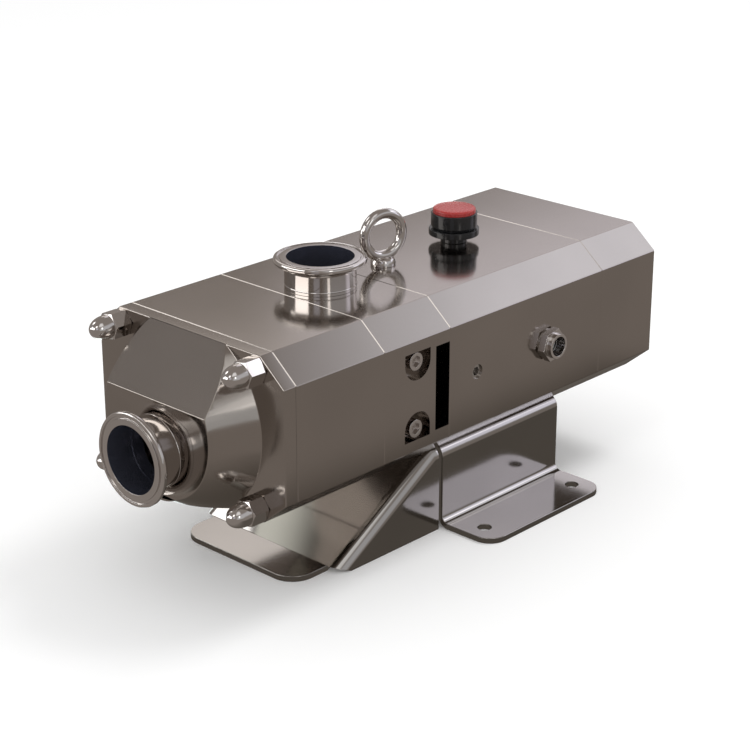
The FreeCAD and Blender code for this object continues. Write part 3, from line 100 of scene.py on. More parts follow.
def new_material(name):
    """An empty node material with its Principled shader and output."""
    material = bpy.data.materials.new(name)
    material.use_nodes = True
    tree = material.node_tree
    tree.nodes.clear()
    output = tree.nodes.new("ShaderNodeOutputMaterial")
    shader = tree.nodes.new("ShaderNodeBsdfPrincipled")
    tree.links.new(shader.outputs["BSDF"], output.inputs["Surface"])
    return material, tree, shader


def add_node(tree, kind, settings=None, **inputs):
    """Adds a node. An input is a number, a colour or an output of another node."""
    node = tree.nodes.new(kind)
    for key, value in (settings or {}).items():
        setattr(node, key, value)
    for key, value in inputs.items():
        socket = node.inputs[key.replace("_", " ")]
        if isinstance(value, bpy.types.NodeSocket):
            tree.links.new(value, socket)
        else:
            socket.default_value = value
    return node


def stretched_noise(tree, stretch, scale, detail):
    """Noise on the piece's own coordinates, drawn out along the directions where stretch is small."""
    place = tree.nodes.new("ShaderNodeTexCoord").outputs["Object"]
    mapping = add_node(tree, "ShaderNodeMapping", Vector=place, Scale=stretch)
    noise = add_node(
        tree, "ShaderNodeTexNoise", Vector=mapping.outputs["Vector"], Scale=scale, Detail=detail
    )
    return noise.outputs["Fac"]


def spread(tree, value, low, high):
    """Maps the middle of a noise to the range from low to high."""
    node = add_node(
        tree,
        "ShaderNodeMapRange",
        Value=value,
        From_Min=NOISE_LOW,
        From_Max=NOISE_HIGH,
        To_Min=low,
        To_Max=high,
    )
    return node.outputs["Result"]


def blend(tree, below, field, tint):
    """Lays a tint over a colour, or over what is there already, where a field is 1."""
    mix = add_node(tree, "ShaderNodeMix", {"data_type": "RGBA"})
    tree.links.new(field, mix.inputs["Factor"])
    if isinstance(below, bpy.types.NodeSocket):
        tree.links.new(below, mix.inputs[6])
    else:
        mix.inputs[6].default_value = (*below, 1.0)
    mix.inputs[7].default_value = (*tint, 1.0)
    return mix.outputs[2]


# %% [markdown]
# Stainless steel is a metal, so its look is a tint, a roughness and the room it mirrors. The body
# blocks were ground and then lightly polished along the pump: close things mirror in them almost
# sharply and far ones blur. A fine noise that is stretched along the pump gives that grain, and a
# broad faint one keeps large faces from being one flat tone.

# %% Steel
ALONG = (0.04, 1.0, 1.0)
ANY_WAY = (1.0, 1.0, 1.0)
BROAD_NOISE = 9.0
TONE_PLAY = 0.04
GRAIN_STRENGTH = 0.35


def steel(name, colour, roughness, play, grain=ALONG, fineness=2200.0, depth=0.000012, metal=1.0):
    """A steel with a grain. play is how far its roughness strays, metal how far it is bare metal."""
    material, tree, shader = new_material(name)
    fine = stretched_noise(tree, grain, fineness, 3.0)
    broad = stretched_noise(tree, ANY_WAY, BROAD_NOISE, 2.0)
    shader.inputs["Metallic"].default_value = metal
    tree.links.new(spread(tree, fine, roughness - play, roughness + play), shader.inputs["Roughness"])
    darker = [channel * (1.0 - TONE_PLAY) for channel in colour]
    lighter = [channel * (1.0 + TONE_PLAY) for channel in colour]
    tone = blend(tree, darker, spread(tree, broad, 0.0, 1.0), lighter)
    tree.links.new(tone, shader.inputs["Base Color"])
    bump = add_node(tree, "ShaderNodeBump", Height=fine, Distance=depth, Strength=GRAIN_STRENGTH)
    tree.links.new(bump.outputs["Normal"], shader.inputs["Normal"])
    return material


satin_steel = steel("satin_steel", (0.40, 0.365, 0.335), 0.13, 0.02)
foot_steel = steel("foot_steel", (0.44, 0.42, 0.40), 0.11, 0.02)
mirror_steel = steel("mirror_steel", (0.62, 0.59, 0.57), 0.06, 0.02, ANY_WAY, 900.0, 0.000004)
turned_steel = steel("turned_steel", (0.50, 0.48, 0.46), 0.24, 0.04)
gear_steel = steel("gear_steel", (0.36, 0.35, 0.35), 0.30, 0.05, ANY_WAY)
bore_steel = steel("bore_steel", (0.17, 0.18, 0.24), 0.22, 0.05, ANY_WAY, metal=0.85)


# %% [markdown]
# The breather is moulded plastic: black with a glossy skin, and a red disc on top. Rubber and the
# seal faces are dark and dull. Each still gets a fine noise in its roughness, because no moulding
# is perfectly even. The lens of the oil level glass is clear.

# %% Plastic, rubber and glass
SKIN_FINENESS = 400.0
SKIN_DEPTH = 0.00002
SKIN_STRENGTH = 0.3


def moulded(name, colour, roughness, play):
    """A moulded or rubbery surface of one colour with an uneven skin."""
    material, tree, shader = new_material(name)
    noise = stretched_noise(tree, ANY_WAY, SKIN_FINENESS, 2.0)
    shader.inputs["Base Color"].default_value = (*colour, 1.0)
    tree.links.new(spread(tree, noise, roughness - play, roughness + play), shader.inputs["Roughness"])
    bump = add_node(
        tree, "ShaderNodeBump", Height=noise, Distance=SKIN_DEPTH, Strength=SKIN_STRENGTH
    )
    tree.links.new(bump.outputs["Normal"], shader.inputs["Normal"])
    return material


black_plastic = moulded("black_plastic", (0.012, 0.012, 0.013), 0.14, 0.04)
red_plastic = moulded("red_plastic", (0.36, 0.028, 0.026), 0.26, 0.05)
rubber = moulded("rubber", (0.025, 0.025, 0.025), 0.55, 0.08)
seal_face = moulded("seal_face", (0.08, 0.08, 0.085), 0.22, 0.04)

clear_glass, glass_tree, glass_shader = new_material("clear_glass")
glass_shader.inputs["Base Color"].default_value = (0.86, 0.89, 0.89, 1.0)
glass_shader.inputs["Roughness"].default_value = 0.02
glass_shader.inputs["Transmission Weight"].default_value = 1.0

# %% [markdown]
# Each CAD piece keeps its shape and takes one of these materials in place of its plain one.

# %% Materials on the CAD pieces
FINISHES = {
    "steel_satin": satin_steel,
    "steel_feet": foot_steel,
    "steel_polished": mirror_steel,
    "chrome_nuts": mirror_steel,
    "steel_bright": turned_steel,
    "gear_steel": gear_steel,
    "black_plastic": black_plastic,
    "red_plastic": red_plastic,
    "seal_rubber": rubber,
    "seal_face": seal_face,
    "sight_glass": clear_glass,
}
for piece in nodes.values():
    for slot in piece.material_slots:
        slot.material = FINISHES[slot.material.name]

# %% [markdown]
# The new pieces are modelled as by hand. A few helpers keep the steps short: they name the piece
# that was just made, apply a modifier, cut one piece with another, round its edges, join pieces,
# bake the place into the mesh, and give a piece its finish and hide the CAD node that it stands
# for.

# %% Helpers for new pieces
SMOOTH_BELOW = math.radians(50.0)


def active_piece(name):
    """Names the object that was just made, and its mesh."""
    piece = bpy.context.object
    piece.name = name
    piece.data.name = name
    return piece


def pick(piece):
    """Selects one piece alone."""
    bpy.ops.object.select_all(action="DESELECT")
    piece.select_set(True)
    bpy.context.view_layer.objects.active = piece


def join(first, *others):
    """Joins pieces to the first one."""
    pick(first)
    for piece in others:
        piece.select_set(True)
    bpy.ops.object.join()


def use_modifier(piece, kind, **settings):
    """Adds a modifier and applies it."""
    pick(piece)
    modifier = piece.modifiers.new("step", kind)
    for key, value in settings.items():
        setattr(modifier, key, value)
    bpy.ops.object.modifier_apply(modifier=modifier.name)


def cut(piece, cutter, operation):
    """Cuts a piece with another, which is used up."""
    use_modifier(piece, "BOOLEAN", operation=operation, object=cutter, solver="EXACT")
    bpy.data.objects.remove(cutter)


def round_edges(piece, width, segments, corner, **settings):
    """Rounds the edges at which the faces turn by more than the corner angle, in degrees."""
    use_modifier(
        piece,
        "BEVEL",
        width=width,
        segments=segments,
        limit_method="ANGLE",
        angle_limit=math.radians(corner),
        **settings,
    )


def settle(piece):
    """Moves the piece's place, turn and size into its mesh."""
    pick(piece)
    bpy.ops.object.transform_apply(location=True, rotation=True, scale=True)


def edit(piece, *steps):
    """Runs mesh operators on the whole piece. A step is an operator and its settings."""
    pick(piece)
    bpy.ops.object.mode_set(mode="EDIT")
    for operator, settings in steps:
        bpy.ops.mesh.select_all(action="SELECT")
        operator(**settings)
    bpy.ops.object.mode_set(mode="OBJECT")


def dress(piece, material, slot, *replaced):
    """Gives a piece its finish and its body, and hides the CAD nodes that it stands for.

    The weighted normals keep the large faces flat and leave the bending to the rounded edges.
    """
    piece.data.materials.clear()
    piece.data.materials.append(material)
    pick(piece)
    bpy.ops.object.shade_smooth_by_angle(angle=SMOOTH_BELOW)
    use_modifier(piece, "WEIGHTED_NORMAL", keep_sharp=True, weight=100, thresh=0.2)
    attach(piece, "housing")
    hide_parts(*replaced)
    print(piece.name, len(piece.data.polygons), "faces")


# %% [markdown]
# Polishing rounds every edge, and a rounded edge catches the light as a bright line. The CAD edges
# are sharp, so where the real ones shine, a copy of the CAD piece gets a bevel. A CAD mesh is loose
# triangles: they are merged and the flat faces joined first, so that only true edges are rounded.

# %% Rounded edges on copies of CAD pieces
MERGE = 0.00001
FLAT = math.radians(0.3)
EASED_CORNER = 32.0
EASED_SEGMENTS = 2


def eased(node, material, slot, width, cutter=None):
    """A copy of a CAD piece with its sharp edges rounded, after a cutter has been at it."""
    mesh = nodes[node].data.copy()
    bpy.context.collection.objects.link(bpy.data.objects.new(node + "_eased", mesh))
    piece = bpy.data.objects[node + "_eased"]
    pick(piece)
    bpy.ops.mesh.customdata_custom_splitnormals_clear()
    edit(piece, (bpy.ops.mesh.remove_doubles, {"threshold": MERGE}))
    if cutter:
        cut(piece, cutter, "DIFFERENCE")
    edit(piece, (bpy.ops.mesh.dissolve_limited, {"angle_limit": FLAT}))
    round_edges(
        piece,
        width,
        EASED_SEGMENTS,
        EASED_CORNER,
        use_clamp_overlap=False,
        miter_outer="MITER_ARC",
    )
    dress(piece, material, slot, node)


for node in ("front_pedestal", "left_bracket", "right_bracket"):
    eased(node, foot_steel, "steel_feet", 0.0006)

# %% [markdown]
# Round pieces come off a lathe, and a lathe can be played in edit mode: a ring of edges is extruded
# along its axis and scaled, step by step, down the outline of the piece. The last step meets the
# first ring again, and a bevel rounds each corner of the outline.

# %% Turned pieces
TURN_STEPS = 96
QUARTER = math.radians(90.0)
TURNS = {"Z": (0.0, 0.0, 0.0), "X": (0.0, -QUARTER, 0.0), "Y": (QUARTER, 0.0, 0.0)}
TURNED_CORNER = 25.0
TURNED_SEGMENTS = 3


def lathe(name, rings, axis, centre, edge, closed=True):
    """Turns an outline of (radius, place along the axis). An open outline ends in flat discs."""
    bpy.ops.object.select_all(action="DESELECT")
    radius, place = rings[0]
    bpy.ops.mesh.primitive_circle_add(
        vertices=TURN_STEPS,
        radius=radius,
        fill_type="NOTHING" if closed else "NGON",
        location=(0.0, 0.0, place),
    )
    piece = active_piece(name)
    settle(piece)
    bpy.ops.object.mode_set(mode="EDIT")
    bpy.ops.mesh.select_mode(type="EDGE")
    bpy.ops.mesh.select_all(action="SELECT")
    for next_radius, next_place in rings[1:] + (rings[:1] if closed else []):
        step = {"value": (0.0, 0.0, next_place - place)}
        bpy.ops.mesh.extrude_edges_move(TRANSFORM_OT_translate=step)
        grow = next_radius / radius
        bpy.ops.transform.resize(value=(grow, grow, 1.0), center_override=(0.0, 0.0, next_place))
        radius, place = next_radius, next_place
    if not closed:
        bpy.ops.mesh.edge_face_add()
    bpy.ops.mesh.select_all(action="SELECT")
    bpy.ops.mesh.remove_doubles(threshold=MERGE)
    bpy.ops.mesh.normals_make_consistent(inside=False)
    bpy.ops.object.mode_set(mode="OBJECT")
    if edge:
        round_edges(piece, edge, TURNED_SEGMENTS, TURNED_CORNER, use_clamp_overlap=False)
    piece.rotation_euler = TURNS[axis]
    piece.location = centre
    settle(piece)
    return piece


# %% [markdown]
# A clamp ferrule has a rim with a fully rounded edge, a gasket groove in its face and a tapered
# back that the clamp wedges on. It is welded to the pump, so its tube carries a thin seam inside
# and out. The bore is duller than the polished outside.

# %% Ferrules
outlet_low, outlet_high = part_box("outlet_ferrule")
inlet_low, inlet_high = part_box("inlet_ferrule")
FLANGE = (outlet_high[0] - outlet_low[0]) / 2.0
TUBE = 0.03505
BORE = 0.03295
RIM = 0.0056
RIM_ROUND = 0.0018
RIM_CORNER = 0.3 * RIM_ROUND
BACK = ((0.004, 0.0016), (0.0012, 0.0030), (0.0, 0.0060))
GROOVE_OUT = 0.0418
GROOVE_IN = 0.0392
GROOVE_DEEP = 0.0013
WELD = 0.0004
FERRULE_EDGE = 0.0003
OUTLET_SEAM = 0.0035
INLET_LONG = 0.0425
INLET_SEAM = 0.0292
BORE_PLAY = 0.00005


def ferrule_rings(long, seam):
    """The outline of a ferrule. Its face is at 0 and its weld seam at a depth."""
    return [
        (BORE, 0.0),
        (GROOVE_IN, 0.0),
        (GROOVE_IN, -GROOVE_DEEP),
        (GROOVE_OUT, -GROOVE_DEEP),
        (GROOVE_OUT, 0.0),
        (FLANGE - RIM_ROUND, 0.0),
        (FLANGE - RIM_CORNER, -RIM_CORNER),
        (FLANGE, -RIM_ROUND),
        (FLANGE, -RIM + RIM_ROUND),
        (FLANGE - RIM_CORNER, -RIM + RIM_CORNER),
        (FLANGE - RIM_ROUND, -RIM),
        *[(TUBE + out, -RIM - behind) for out, behind in BACK],
        (TUBE, WELD - seam),
        (TUBE + WELD, -seam),
        (TUBE, -WELD - seam),
        (TUBE, -long),
        (BORE, -long),
        (BORE, -WELD - seam),
        (BORE - WELD, -seam),
        (BORE, WELD - seam),
    ]


def ferrule(node, axis, mouth, long, seam):
    """A ferrule with its face at a place, in place of a CAD node, with a dull bore."""
    piece = lathe(node + "_polished", ferrule_rings(long, seam), axis, mouth, FERRULE_EDGE)
    dress(piece, mirror_steel, "steel_polished", node)
    piece.data.materials.append(bore_steel)
    across = (1, 2) if axis == "X" else (0, 1)
    inside = 0
    for face in piece.data.polygons:
        out = math.hypot(*[face.center[number] - mouth[number] for number in across])
        if out < BORE + BORE_PLAY:
            face.material_index = 1
            inside += 1
    print(piece.name, "bore faces", inside)


outlet_mouth = ((outlet_low[0] + outlet_high[0]) / 2.0, 0.0, outlet_high[2])
outlet_long = outlet_high[2] - outlet_low[2]
ferrule("outlet_ferrule", "Z", outlet_mouth, outlet_long, outlet_long - OUTLET_SEAM)

inlet_height = (inlet_low[2] + inlet_high[2]) / 2.0
inlet_mouth = (inlet_low[0], 0.0, inlet_height)
ferrule("inlet_ferrule", "X", inlet_mouth, INLET_LONG, INLET_SEAM)

# %% [markdown]
# The boss of the front cover is dished: from its rim it falls into a bowl round the inlet tube,
# which runs into it in a smooth curve. The bowl is round at the tube and follows the rim outside,
# so its cutter starts as a turned piece whose rings are then drawn out to the rim.

# %% Bowl of the front cover
BOWL_DEEP = 0.010
BOWL_STEPS = 12
BOWL_SPAN = 0.040
BOWL_CORE = 0.001
BOWL_ABOVE = 0.012
BOSS_FACE = -0.376
BOSS_HEIGHT = 0.171
RIM_RADIUS = 0.0713
SLOPE_FOOT = 0.1960
ON_TUBE = 0.0001


def rim_reach(angle):
    """How far the bowl reaches from the tube's axis in a direction: to the rim or the sloped face."""
    up = math.sin(angle)
    drop = BOSS_HEIGHT - inlet_height
    reach = up * drop + math.sqrt((up * drop) ** 2 + RIM_RADIUS**2 - drop**2)
    if up > 0.0:
        reach = min(reach, (SLOPE_FOOT - inlet_height) / up)
    return reach


rings = [(TUBE - BOWL_CORE, 0.0)]
for step in range(BOWL_STEPS + 1):
    turn = step * QUARTER / BOWL_STEPS
    rings.append((TUBE + BOWL_SPAN * (1.0 - math.cos(turn)), BOWL_DEEP * math.sin(turn)))
rings.append((TUBE + BOWL_SPAN, BOWL_DEEP + BOWL_ABOVE))
bowl = lathe("bowl_cutter", rings, "X", (BOSS_FACE + BOWL_DEEP, 0.0, inlet_height), 0.0, closed=False)
for vertex in bowl.data.vertices:
    out = math.hypot(vertex.co.y, vertex.co.z - inlet_height)
    share = (out - TUBE) / BOWL_SPAN
    if share > ON_TUBE:
        angle = math.atan2(vertex.co.z - inlet_height, vertex.co.y)
        reach = TUBE + (rim_reach(angle) - TUBE) * share
        vertex.co.y *= reach / out
        vertex.co.z = inlet_height + (vertex.co.z - inlet_height) * reach / out
eased("front_cover", satin_steel, "steel_satin", 0.0005, bowl)

# %% [markdown]
# An acorn nut is a short hexagon bar with its corners turned off at both ends, and a dome. The
# corners come off as on the lathe, where a cone meets the hexagon, which leaves the bright arcs at
# the end of each flat. One nut is made and copied to the four tie rods.

# %% Acorn nuts
nuts_low, nuts_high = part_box("acorn_nuts")
NUT_FLATS = 0.024
NUT_LONG = 0.019
NUT_TURN = math.radians(52.0)
NUT_EDGE = 0.0005
NUT_SEGMENTS = 2
TIE_Y = 0.0905
TIE_Z = 0.0668
CORNER = NUT_FLATS / math.sqrt(3.0)
CONE_END = NUT_FLATS / 2.0 * 0.97
CONE_REACH = CORNER * 1.02
CONE_SLOPE = 28.0
DOME_RADIUS = 0.0114
DOME_LONG = 0.020
DOME_STRAIGHT = 0.003
DOME_SUNK = 0.001
DOME_STEPS = 12


def nut_bar():
    """The hexagon bar, its corners turned off by a round blank."""
    bpy.ops.object.select_all(action="DESELECT")
    bpy.ops.mesh.primitive_cylinder_add(vertices=6, radius=CORNER, depth=NUT_LONG)
    bar = active_piece("acorn_nut")
    bar.location = (0.0, 0.0, NUT_LONG / 2.0)
    settle(bar)
    fall = (CONE_REACH - CONE_END) * math.tan(math.radians(CONE_SLOPE))
    rings = [(CONE_END, 0.0), (CONE_REACH, fall), (CONE_REACH, NUT_LONG - fall), (CONE_END, NUT_LONG)]
    cut(bar, lathe("nut_blank", rings, "Z", (0.0, 0.0, 0.0), 0.0, closed=False), "INTERSECT")
    round_edges(bar, NUT_EDGE, NUT_SEGMENTS, CONE_SLOPE)
    return bar


def dome_rings():
    """The neck and the dome that stand on the hexagon."""
    rings = [(DOME_RADIUS, NUT_LONG - DOME_SUNK)]
    crown = DOME_LONG - DOME_STRAIGHT
    for step in range(DOME_STEPS):
        turn = step * QUARTER / DOME_STEPS
        rings.append((DOME_RADIUS * math.cos(turn), NUT_LONG + DOME_STRAIGHT + crown * math.sin(turn)))
    return rings


nut = nut_bar()
join(nut, lathe("nut_dome", dome_rings(), "Z", (0.0, 0.0, 0.0), 0.0, closed=False))
nut.rotation_euler = (0.0, -QUARTER, 0.0)
settle(nut)
nut.rotation_euler = (NUT_TURN, 0.0, 0.0)
settle(nut)

copies = []
middle_z = (nuts_low[2] + nuts_high[2]) / 2.0
for side in (-1.0, 1.0):
    for level in (-1.0, 1.0):
        pick(nut)
        bpy.ops.object.duplicate()
        twin = bpy.context.object
        twin.location = (nuts_high[0], side * TIE_Y, middle_z + level * TIE_Z)
        settle(twin)
        copies.append(twin)
bpy.data.objects.remove(nut)
join(*copies)
dress(active_piece("acorn_nuts_polished"), mirror_steel, "chrome_nuts", "acorn_nuts")

# %% [markdown]
# The lifting eye is forged in one piece: a round ring on a low collar. Its ring is a circle turned
# round the ring's own axis, and the whole eye stands a little turned, as a screwed one does.

# %% Lifting eye
eye_low, eye_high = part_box("eye_bolt")
EYE_RING = 0.02175
EYE_SECTION = 0.00525
EYE_TURN = math.radians(-13.7)
EYE_STEPS = 6
EYE_COLLAR = ((0.008, -0.018), (0.008, 0.0), (0.0125, 0.0), (0.0125, 0.0035), (0.0112, 0.0065))
EYE_CROWN = ((0.0085, 0.0085), (0.004, 0.0095))
EYE_EDGE = 0.0004
plate_top = outlet_low[2]
eye_middle = (eye_low[0] + eye_high[0]) / 2.0
rings = []
for step in range(4 * EYE_STEPS):
    turn = step * QUARTER / EYE_STEPS
    rings.append((EYE_RING + EYE_SECTION * math.cos(turn), EYE_SECTION * math.sin(turn)))
eye = lathe("eye_bolt_forged", rings, "Y", (0.0, 0.0, 0.0), 0.0)
eye.rotation_euler = (0.0, 0.0, EYE_TURN)
eye.location = (eye_middle, 0.0, eye_high[2] - EYE_RING - EYE_SECTION)
settle(eye)
rings = list(EYE_COLLAR + EYE_CROWN)
join(eye, lathe("eye_collar", rings, "Z", (eye_middle, 0.0, plate_top), EYE_EDGE, closed=False))
dress(eye, mirror_steel, "steel_polished", "eye_bolt")

# %% [markdown]
# The breather's red disc is pressed into its cap. Its face is slightly crowned, and its edge is
# rounded, so it shows one soft highlight. Its outline is given as shares of its radius and height.

# %% Breather
disc_low, disc_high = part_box("breather_disc")
DISC = (disc_high[0] - disc_low[0]) / 2.0
DISC_TALL = disc_high[2] - disc_low[2]
DISC_EDGE = ((1.0, 0.0), (1.0, 0.5), (0.99, 0.68), (0.955, 0.82), (0.90, 0.88))
DISC_FACE = ((0.75, 0.94), (0.4, 0.99))
DISC_TIP = 0.001
rings = [(DISC * out, DISC_TALL * up) for out, up in DISC_EDGE + DISC_FACE]
rings.append((DISC_TIP, DISC_TALL))
disc_middle = (disc_low[0] + disc_high[0]) / 2.0
disc = lathe("breather_disc_crowned", rings, "Z", (disc_middle, 0.0, disc_low[2]), 0.0, closed=False)
dress(disc, red_plastic, "red_plastic", "breather_disc")
eased("breather_cap", black_plastic, "black_plastic", 0.0008)
eased("breather_body", black_plastic, "black_plastic", 0.0006)

# %% [markdown]
# The polished screws in the side pockets and the hexagon of the oil level glass are small, so their
# shape is read from the bright lines on their edges alone. They are eased too.

# %% Screws and sight glass
for node in ("side_screws", "sight_glass_body"):
    eased(node, mirror_steel, "steel_polished", 0.0004)

# %% [markdown]
# The studio is a pale floor and a plain bright world. The floor adds a little light of its own for
# the camera alone, so that it reads as white and still keeps the pump's shadow.

# %% Floor and world
FLOOR_SIZE = 40.0
FLOOR_LIFT = 0.06
WORLD_LIGHT = 0.92
bpy.ops.object.select_all(action="DESELECT")
bpy.ops.mesh.primitive_plane_add(size=FLOOR_SIZE, location=(0.0, 0.0, 0.0))
floor = bpy.context.object
floor.name = "studio_floor"
floor_material, floor_tree, floor_shader = new_material("pale_floor")
floor_shader.inputs["Base Color"].default_value = (0.93, 0.93, 0.93, 1.0)
floor_shader.inputs["Roughness"].default_value = 0.9
floor_shader.inputs["Specular IOR Level"].default_value = 0.0
floor_shader.inputs["Emission Color"].default_value = (1.0, 1.0, 1.0, 1.0)
seen = floor_tree.nodes.new("ShaderNodeLightPath").outputs["Is Camera Ray"]
lift = add_node(floor_tree, "ShaderNodeMapRange", Value=seen, To_Max=FLOOR_LIFT)
floor_tree.links.new(lift.outputs["Result"], floor_shader.inputs["Emission Strength"])
floor.data.materials.append(floor_material)
floor.visible_glossy = False

world = bpy.data.worlds.new("studio_world")
bpy.context.scene.world = world
world.use_nodes = True
background = world.node_tree.nodes["Background"]
background.inputs["Color"].default_value = (1.0, 1.0, 1.0, 1.0)
background.inputs["Strength"].default_value = WORLD_LIGHT

# %% [markdown]
# Polished steel shows what stands round it, so product photographers close it in with dark panels
# and soft boxes, just out of the picture. Here one large shell does that. Only mirror rays meet it,
# so it shows in the metal alone: it casts no shadow, and the camera doesn't see it.
#
# The soft boxes are made of math nodes. A window is a field that is 1 in the box and falls to 0
# round it, and its colour is laid over the dark room where the field is 1.

# %% Helpers for soft boxes


def math_node(tree, operation, *values):
    """A Math node with its inputs set or joined."""
    node = tree.nodes.new("ShaderNodeMath")
    node.operation = operation
    for socket, value in zip(node.inputs, values):
        if isinstance(value, bpy.types.NodeSocket):
            tree.links.new(value, socket)
        else:
            socket.default_value = value
    return node.outputs["Value"]


def window(tree, value, half, soft):
    """1 where a value is within half of zero, falling smoothly to 0 over the soft width outside."""
    node = add_node(
        tree,
        "ShaderNodeMapRange",
        {"interpolation_type": "SMOOTHSTEP"},
        Value=math_node(tree, "ABSOLUTE", value),
        From_Min=half + soft,
        From_Max=half,
    )
    return node.outputs["Result"]


def mirror_only(piece, name):
    """Makes a stage piece that only mirror rays meet, with an emission material to fill in."""
    piece.name = name
    piece.visible_camera = False
    piece.visible_diffuse = False
    piece.visible_shadow = False
    piece.visible_transmission = False
    piece.visible_volume_scatter = False
    material = bpy.data.materials.new(name)
    material.use_nodes = True
    tree = material.node_tree
    tree.nodes.clear()
    output = tree.nodes.new("ShaderNodeOutputMaterial")
    light = tree.nodes.new("ShaderNodeEmission")
    tree.links.new(light.outputs["Emission"], output.inputs["Surface"])
    piece.data.materials.append(material)
    place = tree.nodes.new("ShaderNodeTexCoord").outputs["Object"]
    split = add_node(tree, "ShaderNodeSeparateXYZ", Vector=place)
    return tree, light, split.outputs


# %% [markdown]
# On the shell a soft box is a window in azimuth and elevation, measured in degrees as for a
# camera: azimuth 0 is in front of the pump's right side, 90 is past its drive end. Each line gives
# the middle, the half width and half height, how soft the edge is, a tilt and the colour. The
# boxes stand where the real ones must have stood, found from where each flat face of the pump
# mirrors the room in the photographer's view.

# %% Reflection shell
SHELL_RADIUS = 8.0
HALF_TURN = 180.0
DARK_ROOM = (0.305, 0.272, 0.250)
SOFT_BOXES = (
    # past the inlet end on the left, for the front plate and the sloped face
    (-138.0, 5.0, 26.0, 30.0, 24.0, 0.0, (0.33, 0.31, 0.30)),
    # high past the drive end, for the flat top: it ends in a slanted lower edge
    (110.0, 28.8, 25.0, 14.7, 4.0, -1.0 / 3.0, (0.98, 0.94, 1.0)),
    (140.0, 31.0, 8.0, 5.0, 4.0, 0.0, (1.08, 1.02, 0.98)),
    # past the drive end on the right, for the sloped long edge
    (77.0, 35.0, 8.0, 4.2, 14.0, 0.0, (1.36, 1.40, 1.55)),
    # lower on the right, for the edge above the right side and for the foot plates
    (50.0, 22.0, 9.0, 9.0, 5.0, 0.0, (1.3, 1.3, 1.5)),
    # in front of the right side, for the cone of the cover
    (-15.0, 0.0, 9.0, 18.0, 20.0, 0.0, (0.62, 0.63, 0.64)),
    (-28.0, 56.0, 12.0, 8.0, 14.0, 0.0, (1.0, 1.0, 1.0)),
    # narrow bright strips, for the tubes, nuts and edges
    (-71.0, 43.0, 7.0, 6.0, 4.0, 0.0, (2.3, 2.3, 2.3)),
    (-160.0, 43.0, 8.0, 6.0, 4.0, 0.0, (3.0, 3.0, 3.0)),
    (15.0, 22.0, 22.0, 8.0, 14.0, 0.0, (0.60, 0.60, 0.62)),
    (-108.0, 22.0, 22.0, 7.0, 3.0, 0.0, (3.6, 3.6, 3.6)),
    (-58.0, 22.0, 7.0, 7.0, 4.0, 0.0, (0.62, 0.62, 0.68)),
    (-20.0, 22.0, 3.0, 8.0, 2.0, 0.0, (2.4, 2.4, 2.4)),
    (137.0, 2.0, 5.0, 5.0, 3.0, 0.0, (3.0, 3.0, 3.0)),
    (53.0, 33.0, 4.0, 4.0, 3.0, 0.0, (2.4, 2.4, 2.6)),
    # low past the inlet end on the left, for the rounded edge under the sloped face
    (-139.0, 3.0, 8.0, 9.0, 3.0, 0.0, (3.6, 3.6, 3.6)),
)
bpy.ops.mesh.primitive_ico_sphere_add(subdivisions=5, radius=SHELL_RADIUS, location=(0.0, 0.0, 0.0))
shell_tree, shell_light, (shell_x, shell_y, shell_z) = mirror_only(bpy.context.object, "studio_shell")
behind = math_node(shell_tree, "MULTIPLY", shell_y, -1.0)
turn = math_node(shell_tree, "DEGREES", math_node(shell_tree, "ARCTAN2", shell_x, behind))
height = math_node(shell_tree, "DIVIDE", shell_z, SHELL_RADIUS)
rise = math_node(shell_tree, "DEGREES", math_node(shell_tree, "ARCSINE", height))
colour = DARK_ROOM
for azimuth, elevation, half_wide, half_high, soft, tilt, tint in SOFT_BOXES:
    aside = math_node(shell_tree, "SUBTRACT", turn, azimuth)
    aside = math_node(shell_tree, "WRAP", aside, HALF_TURN, -HALF_TURN)
    above = math_node(shell_tree, "SUBTRACT", rise, elevation)
    above = math_node(shell_tree, "MULTIPLY_ADD", aside, tilt, above)
    across = window(shell_tree, aside, half_wide, soft)
    upright = window(shell_tree, above, half_high, soft)
    colour = blend(shell_tree, colour, math_node(shell_tree, "MULTIPLY", across, upright), tint)
shell_tree.links.new(colour, shell_light.inputs["Color"])
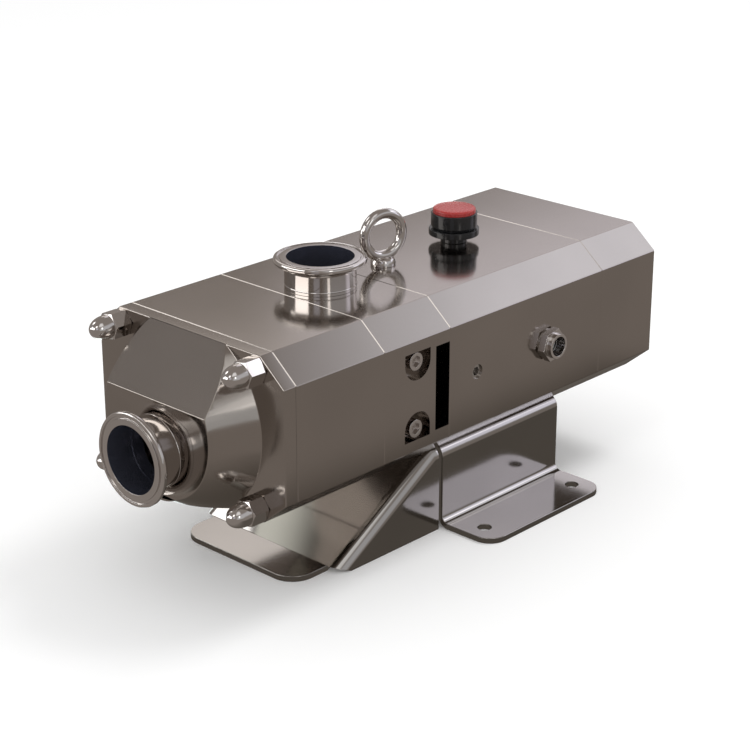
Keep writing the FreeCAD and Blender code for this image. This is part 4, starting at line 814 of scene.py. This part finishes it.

# %% [markdown]
# Low faces mirror the floor close to the pump. A flat card on the floor, which only mirror rays meet,
# carries a painted shadow beside the feet, where the pump shades the floor, and a painted glow on the
# open left side, which shows as a painted highlight in the sloped front foot by way of the body's
# underside. Each line gives the middle, the half length and half width, how soft the edge is and the
# colour.

# %% Painted shadow and glow of the floor, seen in the mirrors
CARD_STEPS = 64
FLOOR_SHADE_AND_GLOW = (
    # painted shadow beside the right feet
    (0.02, -0.10, 0.34, 0.16, 0.12, (0.13, 0.115, 0.10)),
    # painted glow on the open floor left of the front foot, for a painted highlight in its sloped plate
    (-0.235, 0.21, 0.05, 0.05, 0.09, (2.7, 3.0, 3.0)),
)
bpy.ops.mesh.primitive_circle_add(
    vertices=CARD_STEPS, radius=SHELL_RADIUS, fill_type="NGON", location=(0.0, 0.0, 0.0)
)
card_tree, card_light, (card_x, card_y, card_z) = mirror_only(bpy.context.object, "painted_floor_shade_and_glow")
colour = DARK_ROOM
for x, y, half_x, half_y, soft, tint in FLOOR_SHADE_AND_GLOW:
    along = window(card_tree, math_node(card_tree, "SUBTRACT", card_x, x), half_x, soft)
    across = window(card_tree, math_node(card_tree, "SUBTRACT", card_y, y), half_y, soft)
    colour = blend(card_tree, colour, math_node(card_tree, "MULTIPLY", along, across), tint)
card_tree.links.new(colour, card_light.inputs["Color"])

# %% [markdown]
# Two soft lamps shape the dull pieces and the shadow on the floor: a strong one high on the drive
# end's side and a weak one past the inlet end. The metal doesn't mirror them, because the soft
# boxes do that. Each line gives a name, azimuth and elevation in degrees, the width and the power.

# %% Lamps
LAMP_DISTANCE = 3.0
LAMPS = (
    ("key_lamp", 70.0, 60.0, 1.0, 22.0),
    ("left_lamp", -75.0, 42.0, 0.5, 6.0),
)
for name, azimuth, elevation, size, power in LAMPS:
    lamp_way = towards(math.radians(azimuth), math.radians(elevation))
    bpy.ops.object.light_add(type="AREA", location=AIM + lamp_way * LAMP_DISTANCE)
    lamp = bpy.context.object
    lamp.name = name
    lamp.data.shape = "SQUARE"
    lamp.data.size = size
    lamp.data.energy = power
    lamp.visible_glossy = False
    look_back(lamp, lamp_way)

# %% [markdown]
# The Standard view shows each colour as it is written, so a plain photo can be matched by tone.

# %% Picture settings
bpy.context.scene.view_settings.view_transform = "Standard"
